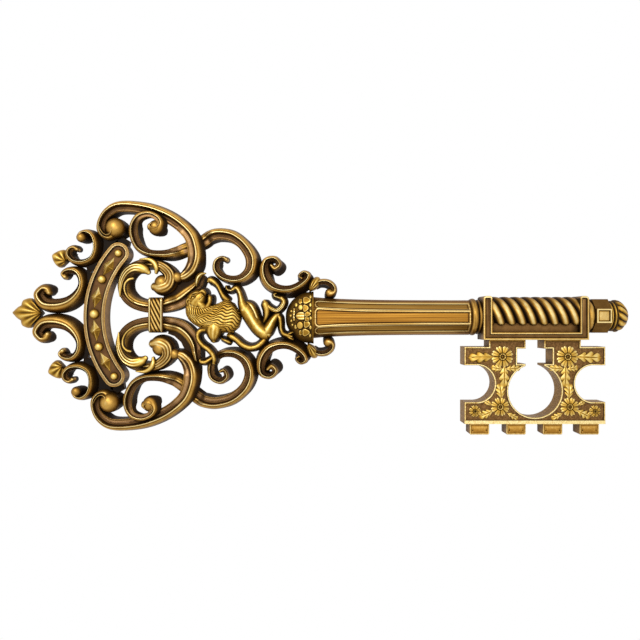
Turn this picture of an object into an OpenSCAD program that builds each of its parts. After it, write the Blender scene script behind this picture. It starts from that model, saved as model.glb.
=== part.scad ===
// Decorative wall key: a pierced scrollwork bow with a rampant lion, a panelled shank, a rope-twist
// barrel in an open frame, and a flat bit with flowers and teeth. Millimetres. +X runs from the bow
// to the bit, +Z is up as the key lies, the back is on the plane y = 0 and the front faces -Y.
// The origin is on the back, where the bow meets the shank.

/* [Bow] */
// Length of the bow from the neck to the tip of the leaf
bow_length = 316; // [300:1:332]
// Width of the bow across the two crown scrolls
bow_width = 236; // [226:1:246]
// Height of the scroll crests above the wall
scroll_depth = 14; // [12:0.5:16]
// Clearance between pieces that lie one over the other
lap_gap = 0.3; // [0.2:0.1:0.6]
// Sideways shift of the bow per unit of height, as the bow was modelled by hand
bow_sway = 0.034; // [0.02:0.002:0.04]
// Drop of the bow towards the neck per unit of length
bow_drop = 0.016; // [0.008:0.002:0.022]
// Share by which the lower half of the bow is wider than the upper half
lower_swell = 0.022; // [0:0.002:0.03]

/* [Crest band] */
// Radius of the band's centre line as the bow is drawn
band_radius = 97.86; // [94:0.01:102]
// Width of the band
band_width = 21.5; // [20:0.5:22]
// Height of the band's border above the wall
band_depth = 15.5; // [14:0.5:18]
// Angle between neighbouring beads as the bow is drawn
bead_pitch = 19.44; // [18:0.01:20]
// Radius of the middle bead
bead_r = 5; // [3.5:0.1:5.5]
// Width of the border round the band's sunk ground
border_w = 3.4; // [2:0.2:4]
// Depth of the sunk ground below the border
band_sink = 1.6; // [0.8:0.1:2.5]

/* [Lion] */
// Height of the lion's back above the wall
lion_base = 8; // [7:0.5:9]
// Height of the lion's shoulder above the wall
lion_depth = 20.5; // [18:0.5:24]

/* [Clasp] */
// Length of the clasp across the two heart scrolls as the bow is drawn
clasp_span = 35.5; // [35.3:0.1:37]
// Width of the clasp along the key
clasp_w = 14.6; // [10:0.2:16]
// Thickness of the clasp's strap
clasp_t = 1.6; // [1.2:0.1:2]

/* [Shank] */
// Length of the shank between calyx and collar
shank_length = 158.5; // [130:0.5:180]
// Half height of the shank at the calyx
shank_root = 21; // [19:0.5:22]
// Half height of the shank at the collar
shank_end = 17.6; // [16:0.2:18.4]
// Depth of the shank's front panel above the wall
shank_depth = 20; // [18:0.5:22]
// Wall of the hollow cast shank
shank_wall = 4; // [3:0.5:5]
// Depth of the sunk panels
panel_sink = 0.9; // [0.5:0.1:1.2]
// Length of the collar
collar_length = 10.5; // [8:0.5:14]

/* [Barrel and knob] */
// Length of the barrel frame
frame_length = 105; // [100:1:112]
// Thickness of each cheek of the frame
cheek = 9; // [7:0.5:11]
// Depth of the frame
frame_depth = 22; // [20:0.5:24]
// Radius of the rope barrel over its strands
barrel_r = 17.8; // [16:0.2:18]
// Height above the wall of the common axis of collar, barrel, nut and knob
axis_height = 5; // [4.5:0.5:7]
// Number of rope strands round the barrel
strands = 6; // [4:1:8]
// Length of barrel in which a strand goes once round
strand_lead = 68.5; // [50:0.5:100]
// Radius of the end ring
end_ring_r = 16.6; // [14:0.2:18]
// Width of the eight-sided nut block across its flats
nut_flats = 34; // [30:0.5:36]
// Length of the nut block
nut_length = 16; // [10:0.5:20]
// Radius of the knob
knob_r = 16.5; // [14:0.5:18]
// Length of the knob
knob_length = 22.2; // [16:0.2:25]
// Diameter of the stud that holds the knob
stud_d = 6; // [4:0.5:7]

/* [Bit] */
// Length of the bit plate along the key
bit_length = 141; // [136:1:150]
// Height of the bit plate below its shoulders
bit_height = 77.2; // [75:0.2:84]
// Height of the neck between the frame and the plate's shoulders
bit_neck = 7; // [5:0.5:10]
// Thickness of the bit plate
bit_depth = 18; // [15:0.5:20]
// Radius of the side notches
notch_r = 18.4; // [15:0.2:19]
// Radius of the round end of the keyhole
keyhole_r = 26.6; // [24:0.2:27]
// Width of the keyhole's slot
slot_w = 18.4; // [14:0.2:22]
// Width of the raised rim
rim_w = 2.2; // [1.5:0.1:2.6]
// Depth of the sunk ground inside the rim
bit_sink = 1.2; // [0.6:0.1:2]
// Width of a tooth
tooth_w = 19.6; // [14:0.2:24]
// Length of a tooth
tooth_l = 11; // [8:0.5:14]
// Distance between the middles of neighbouring teeth
tooth_pitch = 36.7; // [34:0.1:38]
// Radius of the upper flowers
flower_r = 10.4; // [8:0.2:11]

/* [Hanger] */
// Diameter of the ring's wire
ring_wire = 2.2; // [1.8:0.1:2.4]
// Outer width of the hanging ring
ring_width = 14; // [13:0.5:16]
// Outer length of the hanging ring from its hinge axis
ring_reach = 10; // [8.6:0.2:10.2]
// Play between the ring's bar and the eye, on the diameter
ring_play = 0.16; // [0.1:0.02:0.2]
// Depth of the pocket in the back of the crest band
pocket_depth = 5; // [5:0.2:6]

/* [Hidden] */
$fn = 48;

gold = "goldenrod";
deep_gold = "darkgoldenrod";
pale_gold = "khaki";
steel = "lightsteelblue";
UPPER = 1;
LOWER = -1;

// The routes below are drawn for a bow of this length and width, and follow the two sizes.
drawn_length = 310.4;
drawn_width = 234;
swell_length = 50;
bow_x = bow_length / drawn_length;
bow_z = bow_width / drawn_width;

// Sections of a scroll from its right edge to its left edge along the route, as shares of width
// and height: a trough inside a raised crest, and the plain round of a ball or limb.
CHANNEL = [[0.04, 0], [0, 0.66], [0.45, 0.62], [0.6, 1], [0.85, 0.86], [1, 0.45], [0.96, 0]];
ROUND = [[0.12, 0], [0, 0.45], [0.16, 0.84], [0.5, 1], [0.84, 0.84], [1, 0.45], [0.88, 0]];

// Pieces are drawn flat, with their height above the wall as z, and are then stood on the wall.
module on_wall() rotate([90, 0, 0]) children();
module along_x(x, length) translate([x, 0, 0]) rotate([90, 0, 90]) linear_extrude(length) children();
module turned_x(x, z) translate([x, z, axis_height]) rotate([90, 0, 90]) rotate_extrude() children();
module above_wall() intersection() {
    children();
    translate([-400, -200, 0]) cube([800, 400, 100]);
}

// The bow leans as it was modelled by hand: every point moves a little with its place.
function lean(p) = [
    (p.x + bow_sway * p.y) * bow_x,
    (p.y - bow_drop * p.x) * bow_z * (p.y < 0 ? 1 + lower_swell * clamp01(-p.x / swell_length) : 1),
    is_undef(p.z) ? 0 : p.z];

function mix(a, b, t) = a * (1 - t) + b * t;
function clamp01(v) = min(1, max(0, v));
function ease(v) = let (t = clamp01(v)) t * t * (3 - 2 * t);

// A smooth curve through control points of any number of values each.
function curve_point(p, i, t) = let (
    last = len(p) - 1,
    a = i > 0 ? p[i - 1] : 2 * p[0] - p[1],
    b = p[i],
    c = p[i + 1],
    d = i < last - 1 ? p[i + 2] : 2 * p[last] - p[last - 1])
    (2 * b + (c - a) * t + (2 * a - 5 * b + 4 * c - d) * t * t
        + (3 * b - a - 3 * c + d) * t * t * t) / 2;
function curve(p, steps) = concat(
    [for (i = [0 : len(p) - 2], k = [0 : steps - 1]) curve_point(p, i, k / steps)],
    [p[len(p) - 1]]);

// A closed solid through rings of points that run from right to left over the top.
module loft(rings, half = UPPER) {
    n = len(rings[0]);
    last = len(rings) - 1;
    sides = [for (i = [0 : last - 1], j = [0 : n - 1]) let (
        a = i * n + j,
        b = i * n + (j + 1) % n)
        each [[a, b, b + n], [a, b + n, a + n]]];
    ends = [[for (j = [n - 1 : -1 : 0]) j], [for (j = [0 : n - 1]) last * n + j]];
    faces = concat(sides, ends);
    polyhedron([for (ring = rings) each ring],
        half > 0 ? faces : [for (f = faces) [for (k = [len(f) - 1 : -1 : 0]) f[k]]]);
}

// A lap is [x, z, reach, level, way]: within its reach a scroll that passes over (way 1) has its
// back raised to the level, and one that passes under (way -1) has its crest lowered to it.
lap_ramp = 9;
function lap_part(p, lap) = ease((norm([p[0] - lap[0], p[1] - lap[1]]) - lap[2]) / lap_ramp);
function lap_back(p, laps) = max([0, for (lap = laps) if (lap[4] > 0)
    (lap[3] + lap_gap) * (1 - lap_part(p, lap))]);
function lap_crest(p, laps) = let (full = p[3] * scroll_depth)
    min([full, for (lap = laps) if (lap[4] < 0) mix(min(full, lap[3]), full, lap_part(p, lap))]);

// A section with its crest on the left (1) or on the right (-1) of the route.
function flipped(s) = [for (j = [len(s) - 1 : -1 : 0]) [1 - s[j][0], s[j][1]]];
function section(bulb, crest) = let (s = mix(CHANNEL, ROUND, clamp01(bulb)))
    mix(flipped(s), s, (crest + 1) / 2);

// A swept scroll. Each route point is [x, z, width, height as a share of the scroll depth, bulb];
// bulb 0 has the trough and crest, and bulb 1 is round. crest gives the side of the crest at the
// start and at the end, and change the share of the route where it goes over.
module sweep(points, half = UPPER, crest = [1, 1], change = 0.5, laps = [], back = 0, steps = 2) {
    route = curve(points, steps);
    last = len(route) - 1;
    rings = [for (i = [0 : last]) let (
        p = route[i],
        q = route[min(last, i + 1)] - route[max(0, i - 1)],
        left = [-q[1], q[0]] / norm([q[0], q[1]]),
        side = mix(crest[0], crest[1], ease((i / last - change) / 0.06 + 0.5)),
        lo = max(back, lap_back(p, laps)),
        hi = lap_crest(p, laps))
        [for (s = section(p[4], side)) let (v = [p[0], p[1]] + left * p[2] * (s[0] - 0.5))
            lean([v.x, half * v.y, mix(lo, hi, s[1])])]];
    loft(rings, half);
}

// Where scrolls cross. The long scroll passes under the crown scroll's shoulder and over its
// trough, and the lion's cheek and forepaw lie over the heart scrolls and the lower long scroll.
lap_level = 0.47 * scroll_depth;
trough_level = 0.7 * scroll_depth;
tendril_level = 0.58 * scroll_depth;
acanthus_level = 0.7 * scroll_depth;
cross_under = [-130.5, 73.5];
cross_over = [-169, 99];
cheek_rest = [-128, 15];
paw_rest = [-109, 42];
tendril_rest = [-121, 37];
acanthus_rests = [[-190.5, 30], [-189, 38], [-181, 45]];

// Scroll routes, drawn for the upper half before the lean.
tip_route = [[-267.6, 20, 7, 0.86, 1], [-270.6, 23, 9.6, 0.9, 0.8], [-276.6, 24, 10, 0.91, 0.2],
    [-282.6, 18.2, 12, 0.95, 0], [-276, 9.2, 13.8, 1, 0], [-263.6, 7.5, 14.6, 1, 0],
    [-251.5, 10.8, 13.2, 1, 0], [-242.6, 18.6, 11, 1, 0], [-238.2, 28.6, 8.6, 1, 0],
    [-240, 38.2, 8, 0.95, 0], [-246, 44, 8, 0.91, 0], [-253.6, 43.8, 7.6, 0.88, 0.1],
    [-257.8, 40.2, 7.2, 0.86, 0.5], [-255.6, 36.8, 6.4, 0.82, 1]];
side_route = [[-238.6, 76.2, 7, 0.95, 1], [-241.6, 77.2, 9.6, 0.95, 1], [-240.6, 81.4, 7, 0.9, 0.5],
    [-235, 83, 6, 0.91, 0], [-228.3, 78.1, 6.8, 0.95, 0], [-225.4, 67.4, 6.6, 1, 0],
    [-228.4, 56.6, 7, 1, 0], [-237, 51.6, 7, 1, 0], [-247, 52.4, 7.4, 0.95, 0],
    [-253.4, 58, 8, 0.91, 0], [-253.2, 63.8, 7.4, 0.88, 0.2], [-248.8, 66.6, 6.6, 0.86, 0.5],
    [-244.4, 64.8, 5.4, 0.82, 1]];
crown_route = [[-205.6, 93.4, 9, 0.86, 1], [-207.6, 86.4, 16.6, 1.14, 1], [-211.6, 78.8, 10, 0.91, 0.8],
    [-218.4, 79.2, 7, 0.86, 0.2], [-223.2, 86.2, 10, 0.91, 0], [-222, 96, 9.6, 0.95, 0],
    [-215.6, 104.6, 11, 1, 0], [-204.4, 109.2, 12.2, 1, 0], [-187.4, 109, 13, 1, 0],
    [-168.6, 105, 14, 1, 0], [-149.6, 96.6, 14, 1.05, 0], [-133.6, 83.4, 14, 1.09, 0],
    [-127.4, 70.6, 14.4, 1.11, 0], [-126, 58.2, 14.6, 1.09, 0], [-129.6, 46.8, 12.8, 1.05, 0.2],
    [-136.2, 40.2, 9.6, 0.95, 0.6], [-142.2, 38.8, 5, 0.86, 1]];
long_start = [[-171.4, 88.6, 8, 1, 1], [-166, 87, 14, 1.05, 1], [-161.8, 91.8, 9.2, 1.09, 0.6],
    [-164.8, 97.8, 7.2, 1.09, 0], [-173.4, 101.2, 6.6, 1.09, 0],
    [-183, 98.6, 7.6, 1.05, 0], [-189, 90.4, 9.2, 1, 0], [-189, 79.8, 10, 1, 0],
    [-183.6, 68.4, 9.6, 1, 0], [-174, 62.4, 8.4, 1, 0], [-162.6, 61, 8.6, 1, 0],
    [-150.8, 62, 10.6, 1, 0], [-139.4, 67.2, 12.6, 1, 0]];
long_end_upper = [[-122, 75.2, 13, 1, 0], [-113.6, 80.8, 12.8, 1, 0], [-102.6, 83.2, 12.4, 1, 0],
    [-89.8, 80.8, 12.4, 1, 0], [-78, 72, 12.4, 1, 0], [-70.2, 59.4, 13.4, 1, 0],
    [-70.7, 46.8, 12.8, 1, 0], [-78.6, 38.4, 10.6, 1, 0], [-88.4, 36.4, 9, 1, 0],
    [-99, 39.4, 8.4, 0.95, 0], [-105.6, 46.6, 8, 0.91, 0], [-105.4, 54.6, 7, 0.91, 0],
    [-100.4, 58.4, 5.6, 0.86, 0.3], [-95, 56.6, 6, 0.91, 1]];
long_end_lower = [[-120.6, 82, 13, 1, 0], [-111.2, 85.6, 12.8, 1, 0], [-100, 86.4, 12.4, 1, 0],
    [-84.6, 81.8, 12.4, 1, 0], [-72.2, 70.6, 12.2, 1, 0], [-67.8, 56.6, 11.6, 1, 0],
    [-72.2, 44, 11, 1, 0], [-81.8, 37.2, 9.6, 1, 0], [-93.6, 36.4, 8.6, 1, 0],
    [-104, 41.4, 8, 0.95, 0], [-108.4, 51.2, 8, 0.95, 0], [-105.2, 60.8, 7.6, 0.95, 0],
    [-97, 64.4, 7, 0.95, 0], [-91.2, 59.6, 6.4, 0.95, 0.2], [-93.6, 53.8, 4.8, 0.91, 0.6],
    [-98, 54.6, 3.4, 0.91, 1]];
heart_route = [[-120.4, 39.4, 8, 0.86, 0], [-124.4, 30.6, 10.6, 0.91, 0], [-132.8, 20.4, 12.6, 0.95, 0],
    [-145, 12.4, 13.2, 1, 0], [-160, 8.8, 13.2, 1, 0], [-174, 9, 13.2, 1, 0],
    [-187, 13.4, 13.2, 1, 0], [-195.6, 22.8, 13.2, 1, 0], [-197.2, 34.4, 13, 1, 0],
    [-191.6, 44.2, 12.4, 1, 0], [-181.6, 50, 11.6, 1, 0.1], [-170, 51.4, 10.6, 1, 0.5],
    [-159, 48.8, 11, 1.05, 1], [-151.4, 41.4, 11.6, 1.09, 1], [-152.4, 33, 13, 1.14, 1],
    [-159.2, 29.2, 15.4, 1.14, 1], [-166.4, 29, 8.6, 0.91, 1]];
neck_route = [[-50.6, 51.8, 4.2, 0.91, 1], [-46.4, 48.8, 6.4, 1, 0.8], [-42.6, 53.4, 6.8, 1, 0.4],
    [-47.6, 58.8, 6.4, 0.95, 0], [-55.4, 57, 7.4, 0.95, 0], [-58.1, 49.4, 10, 1, 0],
    [-56.6, 39.8, 12, 1, 0], [-51, 31.6, 12, 1, 0], [-42.2, 27.6, 10.2, 1, 0],
    [-31.8, 27.4, 9.2, 1, 0], [-22.4, 31.4, 8.4, 0.95, 0], [-15.4, 37.4, 8.4, 0.91, 0],
    [-13.4, 42.8, 7, 0.91, 0], [-18, 45.4, 4.8, 0.86, 0.2], [-21.8, 41.8, 4.4, 0.86, 0.5],
    [-19.4, 39, 3.4, 0.86, 1]];
hook_route = [[-0.4, 35.6, 4.4, 0.77, 0.5], [3, 36.6, 6, 0.82, 0], [8.4, 35.2, 6.6, 0.86, 0],
    [12.4, 31.2, 6.8, 0.91, 0.1], [12.8, 26.4, 7, 0.95, 0.8], [9.2, 24.1, 7.8, 0.95, 1],
    [5.6, 24.6, 4, 0.82, 1]];
acanthus_route = [[-183, 21.4, 3, 0.82, 1], [-189.4, 26.2, 6, 0.91, 1], [-191.4, 33.2, 8.4, 1.05, 1],
    [-188.6, 40, 10, 1.14, 1], [-183, 44, 9.6, 1.14, 1], [-177.4, 43.6, 7.4, 1.05, 1],
    [-174, 41.4, 3.6, 0.86, 1]];

leaf_route_tip = [[-310.4, 0, 0.8, 0.3, 1], [-304.5, 0, 10, 0.5, 1], [-298.5, 0, 21, 0.66, 1],
    [-294.8, 0, 28.6, 0.7, 1], [-291, 0, 26, 0.74, 1], [-287.6, 0, 17, 0.76, 1],
    [-283, 0, 10.2, 0.8, 1], [-277, 0, 1.6, 0.7, 1]];
leaf_route_side = [[-271.4, 58.6, 1, 0.3, 1], [-268.6, 57.6, 9.4, 0.56, 1], [-265.4, 56.6, 14, 0.7, 1],
    [-261.8, 54.4, 13.4, 0.7, 1], [-258.6, 52.7, 6.4, 0.6, 1]];
leaf_route_neck = [[-3.8, 41, 1, 0.5, 1], [-5.2, 38.6, 5.6, 0.8, 1], [-7.4, 35.2, 7.2, 1, 1],
    [-9.8, 31.4, 6.4, 1, 1], [-11.6, 28.6, 4, 0.8, 1], [-12.2, 25.7, 2.8, 0.6, 1]];
tendril_route = [[-115.6, 42.6, 1.6, 0.72, 1], [-119.4, 41.6, 4.4, 0.9, 1],
    [-122.4, 38, 5.2, 1, 1], [-123.6, 33, 4.4, 0.95, 1], [-123.8, 29.4, 1.6, 0.8, 1]];

module tip_leaf() color(pale_gold) on_wall() sweep(leaf_route_tip);

module tip_scroll(half) color(gold) on_wall() sweep(tip_route, half, [-1, -1]);
module tip_scroll_upper() tip_scroll(UPPER);
module tip_scroll_lower() tip_scroll(LOWER);

module side_leaf(half) color(pale_gold) on_wall() sweep(leaf_route_side, half);
module side_leaf_upper() side_leaf(UPPER);
module side_leaf_lower() side_leaf(LOWER);

module side_scroll(half) color(gold) on_wall() sweep(side_route, half, [1, 1]);
module side_scroll_upper() side_scroll(UPPER);
module side_scroll_lower() side_scroll(LOWER);

module crown_scroll(half) color(gold) on_wall() sweep(crown_route, half, [1, 1],
    laps = [[cross_under.x, cross_under.y, 14, lap_level, 1]]);
module crown_scroll_upper() crown_scroll(UPPER);
module crown_scroll_lower() crown_scroll(LOWER);

long_laps = [[cross_under.x, cross_under.y, 14, lap_level, -1],
    [cross_over.x, cross_over.y, 15, trough_level, 1]];
paw_lap = [paw_rest.x, paw_rest.y, 9, lion_base - lap_gap, -1];
module long_scroll_upper() color(gold) on_wall()
    sweep(concat(long_start, long_end_upper), UPPER, [-1, 1], 0.46, long_laps);
module long_scroll_lower() color(gold) on_wall()
    sweep(concat(long_start, long_end_lower), LOWER, [-1, 1], 0.44, concat(long_laps, [paw_lap]));

cheek_lap = [cheek_rest.x, cheek_rest.y, 14, lion_base - lap_gap, -1];
tendril_lap = [tendril_rest.x, tendril_rest.y, 10, tendril_level, -1];
leaf_laps = [for (rest = acanthus_rests) [rest.x, rest.y, 5, acanthus_level, -1]];
module heart_scroll_upper() color(gold) on_wall()
    sweep(heart_route, UPPER, [-1, -1], laps = concat(leaf_laps, [cheek_lap, tendril_lap]));
module heart_scroll_lower() color(gold) on_wall()
    sweep(heart_route, LOWER, [-1, -1], laps = concat(leaf_laps, [cheek_lap]));

// The acanthus leaves lie in the troughs of the heart scrolls.
module acanthus(half) color(pale_gold) on_wall()
    sweep(acanthus_route, half, back = acanthus_level + 2 * lap_gap);
module acanthus_upper() acanthus(UPPER);
module acanthus_lower() acanthus(LOWER);

module neck_scroll(half) color(gold) on_wall() sweep(neck_route, half, [-1, -1]);
module neck_scroll_upper() neck_scroll(UPPER);
module neck_scroll_lower() neck_scroll(LOWER);

module neck_leaf(half) color(pale_gold) on_wall() sweep(leaf_route_neck, half);
module neck_leaf_upper() neck_leaf(UPPER);
module neck_leaf_lower() neck_leaf(LOWER);

module shoulder_hook(half) color(gold) on_wall() sweep(hook_route, half, [1, 1]);
module shoulder_hook_upper() shoulder_hook(UPPER);
module shoulder_hook_lower() shoulder_hook(LOWER);

// A bright leaf that lies over the upper end of the heart scroll, by the lion's muzzle.
module tendril() color(pale_gold) on_wall() sweep(tendril_route, back = tendril_level + lap_gap);

// The crest band is an arc with round ends, turned with the sway of the bow. Its ends and its rise
// follow the bow's width and length.
band_mid = lean([-223, 0]);
bead_places = [-2, -1, 0, 1.07, 2];
band_half = band_radius * sin(2 * bead_pitch) * bow_z;
band_rise = band_radius * (1 - cos(2 * bead_pitch)) * bow_x;
arc_radius = (pow(band_half, 2) + pow(band_rise, 2)) / (2 * band_rise);
half_arc = 2 * atan(band_rise / band_half);
arc_pitch = half_arc / 2;
module on_band(angle) translate([band_mid.x, band_mid.y, 0]) rotate([0, 0, -atan(bow_sway)])
    translate([arc_radius, 0, 0]) rotate([0, 0, 180 - angle]) translate([arc_radius, 0, 0])
    children();
module band_shape(inset) {
    on_band(0) translate([-arc_radius, 0]) rotate([0, 0, -half_arc]) intersection() {
        difference() {
            circle(arc_radius + band_width / 2 - inset, $fn = 180);
            circle(arc_radius - band_width / 2 + inset, $fn = 180);
        }
        far = 2 * arc_radius;
        polygon([[0, 0], [far, 0], [far * cos(half_arc), far * sin(half_arc)],
            [far * cos(2 * half_arc), far * sin(2 * half_arc)]]);
    }
    for (angle = [-half_arc, half_arc]) on_band(angle) circle(band_width / 2 - inset);
}
// The hanger's pocket is square to the key, so that the ring's bar lies level.
pocket_w = 16;
pocket_l = 38;
pocket_floor = pocket_depth;
bar_x = band_mid.x + 2.5;
screw_x = bar_x + 2.6;
screw_offset = 13.5;
screw_d = 3;
screw_hole_depth = 6;
// Low pads and webs on the band's outer edge meet the crown, side and tip scrolls.
band_pads = [[-207.4, 70.9], [-231.2, 20.6]];
pad_r = 4;
pad_depth = 9;
band_webs = [
    [[-217.8, 74.2], [-210.6, 72.4], [-206, 66], [-214, 52], [-221.6, 55.1], [-218, 64.5]],
    [[-233.2, 45.9], [-226.4, 49], [-222.4, 52.2], [-216, 46], [-226, 30], [-231.4, 29.8], [-232.6, 37.3]]];
web_depth = 7;
web_hole = [-229.6, 42.4];
web_hole_r = 1.6;
module crest_band() color(deep_gold) on_wall() difference() {
    union() {
        linear_extrude(band_depth) band_shape(0);
        for (pad = band_pads, half = [UPPER, LOWER]) translate(lean([pad.x, half * pad.y]))
            cylinder(r = pad_r, h = pad_depth);
        for (web = band_webs, half = [UPPER, LOWER]) linear_extrude(web_depth)
            polygon([for (p = web) let (v = lean([p.x, half * p.y])) [v.x, v.y]]);
    }
    for (half = [UPPER, LOWER]) translate(lean([web_hole.x, half * web_hole.y]) - [0, 0, 1])
        cylinder(r = web_hole_r, h = web_depth + 2);
    translate([0, 0, band_depth - band_sink]) linear_extrude(band_sink + 1) band_shape(border_w);
    translate([band_mid.x - pocket_w / 2, band_mid.y - pocket_l / 2, -1])
        cube([pocket_w, pocket_l, pocket_floor + 1]);
    for (side = [-1, 1]) translate([screw_x, band_mid.y + side * screw_offset, 0])
        cylinder(d = screw_d, h = pocket_floor + screw_hole_depth);
}
module bead(angle, r) on_band(angle) intersection() {
    translate([0, 0, band_depth - band_sink]) sphere(r);
    translate([-r, -r, band_depth - band_sink]) cube(2 * r);
}
module band_beads() color(pale_gold) on_wall()
    for (place = bead_places) bead(arc_pitch * place, bead_r * (1 - 0.1 * abs(place)));
module pyramid(along, across, high) polyhedron(
    [[-across, 0, 0], [0, -along, 0], [across, 0, 0], [0, along, 0], [0, 0, high]],
    [[0, 1, 2, 3], [1, 0, 4], [2, 1, 4], [3, 2, 4], [0, 3, 4]]);
module band_diamonds() color(pale_gold) on_wall() for (place = [-1.5 : 1 : 1.5])
    on_band(arc_pitch * place) translate([0, 0, band_depth - band_sink])
        pyramid(9.4, 4.8, bead_r - 1.4);

// The clasp is a strap over the two heart scrolls, with legs down to the wall and raised edges.
clasp_at = lean([-166, -0.2]);
clasp_back = scroll_depth + lap_gap;
clasp_rim = 2.2;
clasp_across = clasp_span * bow_z;
module clasp() color(deep_gold) on_wall() translate([clasp_at.x - clasp_w / 2, clasp_at.y, 0]) {
    half = clasp_across / 2;
    inner = half - clasp_t;
    along_x(0, clasp_w) polygon([[-half, 0], [-inner, 0], [-inner, clasp_back], [inner, clasp_back],
        [inner, 0], [half, 0], [half, clasp_back + clasp_t], [-half, clasp_back + clasp_t]]);
    for (x = [0, clasp_w - clasp_rim]) translate([x, -half, clasp_back])
        cube([clasp_rim, clasp_across, clasp_t + 1.2]);
}
module clasp_strands() color(gold) on_wall()
    translate([clasp_at.x, clasp_at.y, clasp_back + clasp_t]) intersection() {
        span = clasp_w - 2 * clasp_rim;
        translate([-span / 2, -clasp_across / 2, 0]) cube([span, clasp_across, 4]);
        for (i = [-3 : 3]) translate([0, i * 6.4, -0.6]) rotate([0, 90, -58])
            translate([0, 0, -12]) cylinder(d = 4.6, h = 24);
    }

// The lion is one casting laid over the scrollwork. Its parts are drawn from its own back plane.
mane_line = [[-137.4, 5.8, 4], [-131, 5.6, 18], [-124, 2.6, 27], [-115, -0.4, 33], [-104, -2.2, 34],
    [-93, -1.4, 31], [-84, -1.8, 23], [-77.6, -3.4, 5]];
mane_locks = 7;
mane_steps = 3;
mane_across = 20;
module mane() {
    line = curve(mane_line, mane_steps);
    last = len(line) - 1;
    loft([for (i = [0 : last]) let (
        p = line[i],
        end = 2 * i / last - 1,
        rise = 0.86 * scroll_depth * sqrt(1.06 - pow(end, 4)))
        concat([lean([p[0], p[1] - p[2] / 2, 0])],
            [for (j = [0 : mane_across]) let (
                v = 2 * j / mane_across - 1,
                lock = cos(360 * (mane_locks * (v + 1) / 2 + 0.4 * sin(600 * i / last))))
                lean([p[0], p[1] + v * p[2] / 2,
                    rise * sqrt(1.04 - v * v) + 0.7 * lock * (1 - v * v)])],
            [lean([p[0], p[1] + p[2] / 2, 0])])]);
}
lion_limbs = [
    // Skull, jaw and ear
    [[-133, 9.6, 10, 0.6, 1], [-128, 15, 14, 0.84, 1], [-122, 18.8, 13, 0.84, 1],
        [-116.2, 20.8, 8.4, 0.74, 1], [-111.8, 20, 4, 0.6, 1]],
    [[-122, 9.4, 6, 0.6, 1], [-114.6, 11.6, 6, 0.6, 1], [-109.8, 15.4, 5.4, 0.6, 1],
        [-108.2, 18.6, 2.4, 0.5, 1]],
    [[-129.6, 12, 6, 0.8, 1], [-132.4, 16, 5, 0.9, 1], [-134.4, 19, 1.6, 0.8, 1]],
    // Chest tuft
    [[-109.6, -11, 16, 0.8, 1], [-108.2, -18, 12, 0.6, 1], [-105.6, -25.4, 2, 0.4, 1]],
    // Lower and upper foreleg
    [[-118.4, -10, 9, 0.6, 1], [-121.8, -19.4, 6, 0.6, 1], [-118.2, -27.2, 5.4, 0.56, 1],
        [-112, -33.2, 5.4, 0.56, 1], [-107, -40, 5.6, 0.6, 1], [-111.4, -45.4, 6.4, 0.6, 1],
        [-117.4, -45.4, 5, 0.5, 1]],
    [[-92.6, 12, 9, 0.6, 1], [-98.6, 23, 6, 0.6, 1], [-103.8, 30, 5, 0.56, 1],
        [-109.2, 33.8, 6, 0.6, 1], [-113.8, 32, 3.4, 0.5, 1]],
    // Trunk from the raised paw to the rump
    [[-91, 29.6, 5.4, 0.5, 1], [-87.4, 27.4, 6.6, 0.6, 1], [-82.6, 21.6, 6.6, 0.6, 1],
        [-77.8, 13.6, 10, 0.7, 1], [-72, 4, 14, 0.78, 1], [-63.6, -5.6, 16.4, 0.8, 1],
        [-54.8, -13.4, 17, 0.78, 1], [-47.6, -13.2, 10, 0.66, 1]],
    // Lower hind leg, from the thigh over the knee to the paw
    [[-52, -13, 12, 0.74, 1], [-42.4, 0.8, 9.6, 0.74, 1], [-39, -7, 6, 0.6, 1],
        [-35.8, -14.2, 5.4, 0.56, 1], [-30, -17.4, 5, 0.5, 1]],
    // Raised hind leg and paw
    [[-57, 17.4, 5, 0.5, 1], [-52.8, 13, 9, 0.7, 1], [-46.4, 5.4, 8.6, 0.74, 1],
        [-40.4, 8.4, 7, 0.64, 1], [-38.6, 14, 5.6, 0.6, 1], [-43.2, 17.6, 5, 0.56, 1],
        [-46.8, 16.2, 3, 0.5, 1]],
    // Tail
    [[-55.4, -20, 7, 0.56, 1], [-60.6, -28.2, 6.6, 0.6, 1], [-69, -31.6, 6.8, 0.6, 1],
        [-77.8, -27.4, 6.4, 0.6, 1], [-84.8, -20.8, 6.2, 0.56, 1], [-90, -16, 5.6, 0.56, 1]]];
module lion() color(gold) on_wall() translate([0, 0, lion_base])
    resize([0, 0, lion_depth - lion_base]) union() {
        mane();
        for (limb = lion_limbs) sweep(limb);
    }

// The calyx is a half cup of overlapping petals in rows, round side towards the bow.
calyx_r = 25.1;
calyx_centre = -8.5;
shank_x = -6.5;
calyx_depth = 20.5;
petal_rows = 3;
petal_columns = 5;
calyx_stations = 15;
calyx_across = 30;
module calyx() color(gold) on_wall() loft([for (i = [0 : calyx_stations]) let (
    share = i / calyx_stations,
    far = calyx_centre - calyx_r + 0.4,
    x = far + (shank_x - far) * (1 - cos(90 * share)),
    half = bow_z * sqrt(max(1, pow(calyx_r, 2) - pow(x - calyx_centre, 2))),
    depth = calyx_depth * sqrt(clamp01(0.1 + 0.94 * share)),
    row = share * petal_rows,
    turn = floor(row) % 2 / 2)
    concat([[x, -half * 0.96, 0]], [for (j = [0 : calyx_across]) let (
        a = 180 - 180 * j / calyx_across,
        edge = abs(sin(180 * (petal_columns * j / calyx_across + turn))),
        lift = 1 + 0.05 * (row - floor(row)) * edge - 0.02)
        [x, half * cos(a) * (0.97 + 0.03 * lift), 2 + (depth * lift - 2) * pow(sin(a), 0.8)]],
        [[x, half * 0.96, 0]])]);

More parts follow.
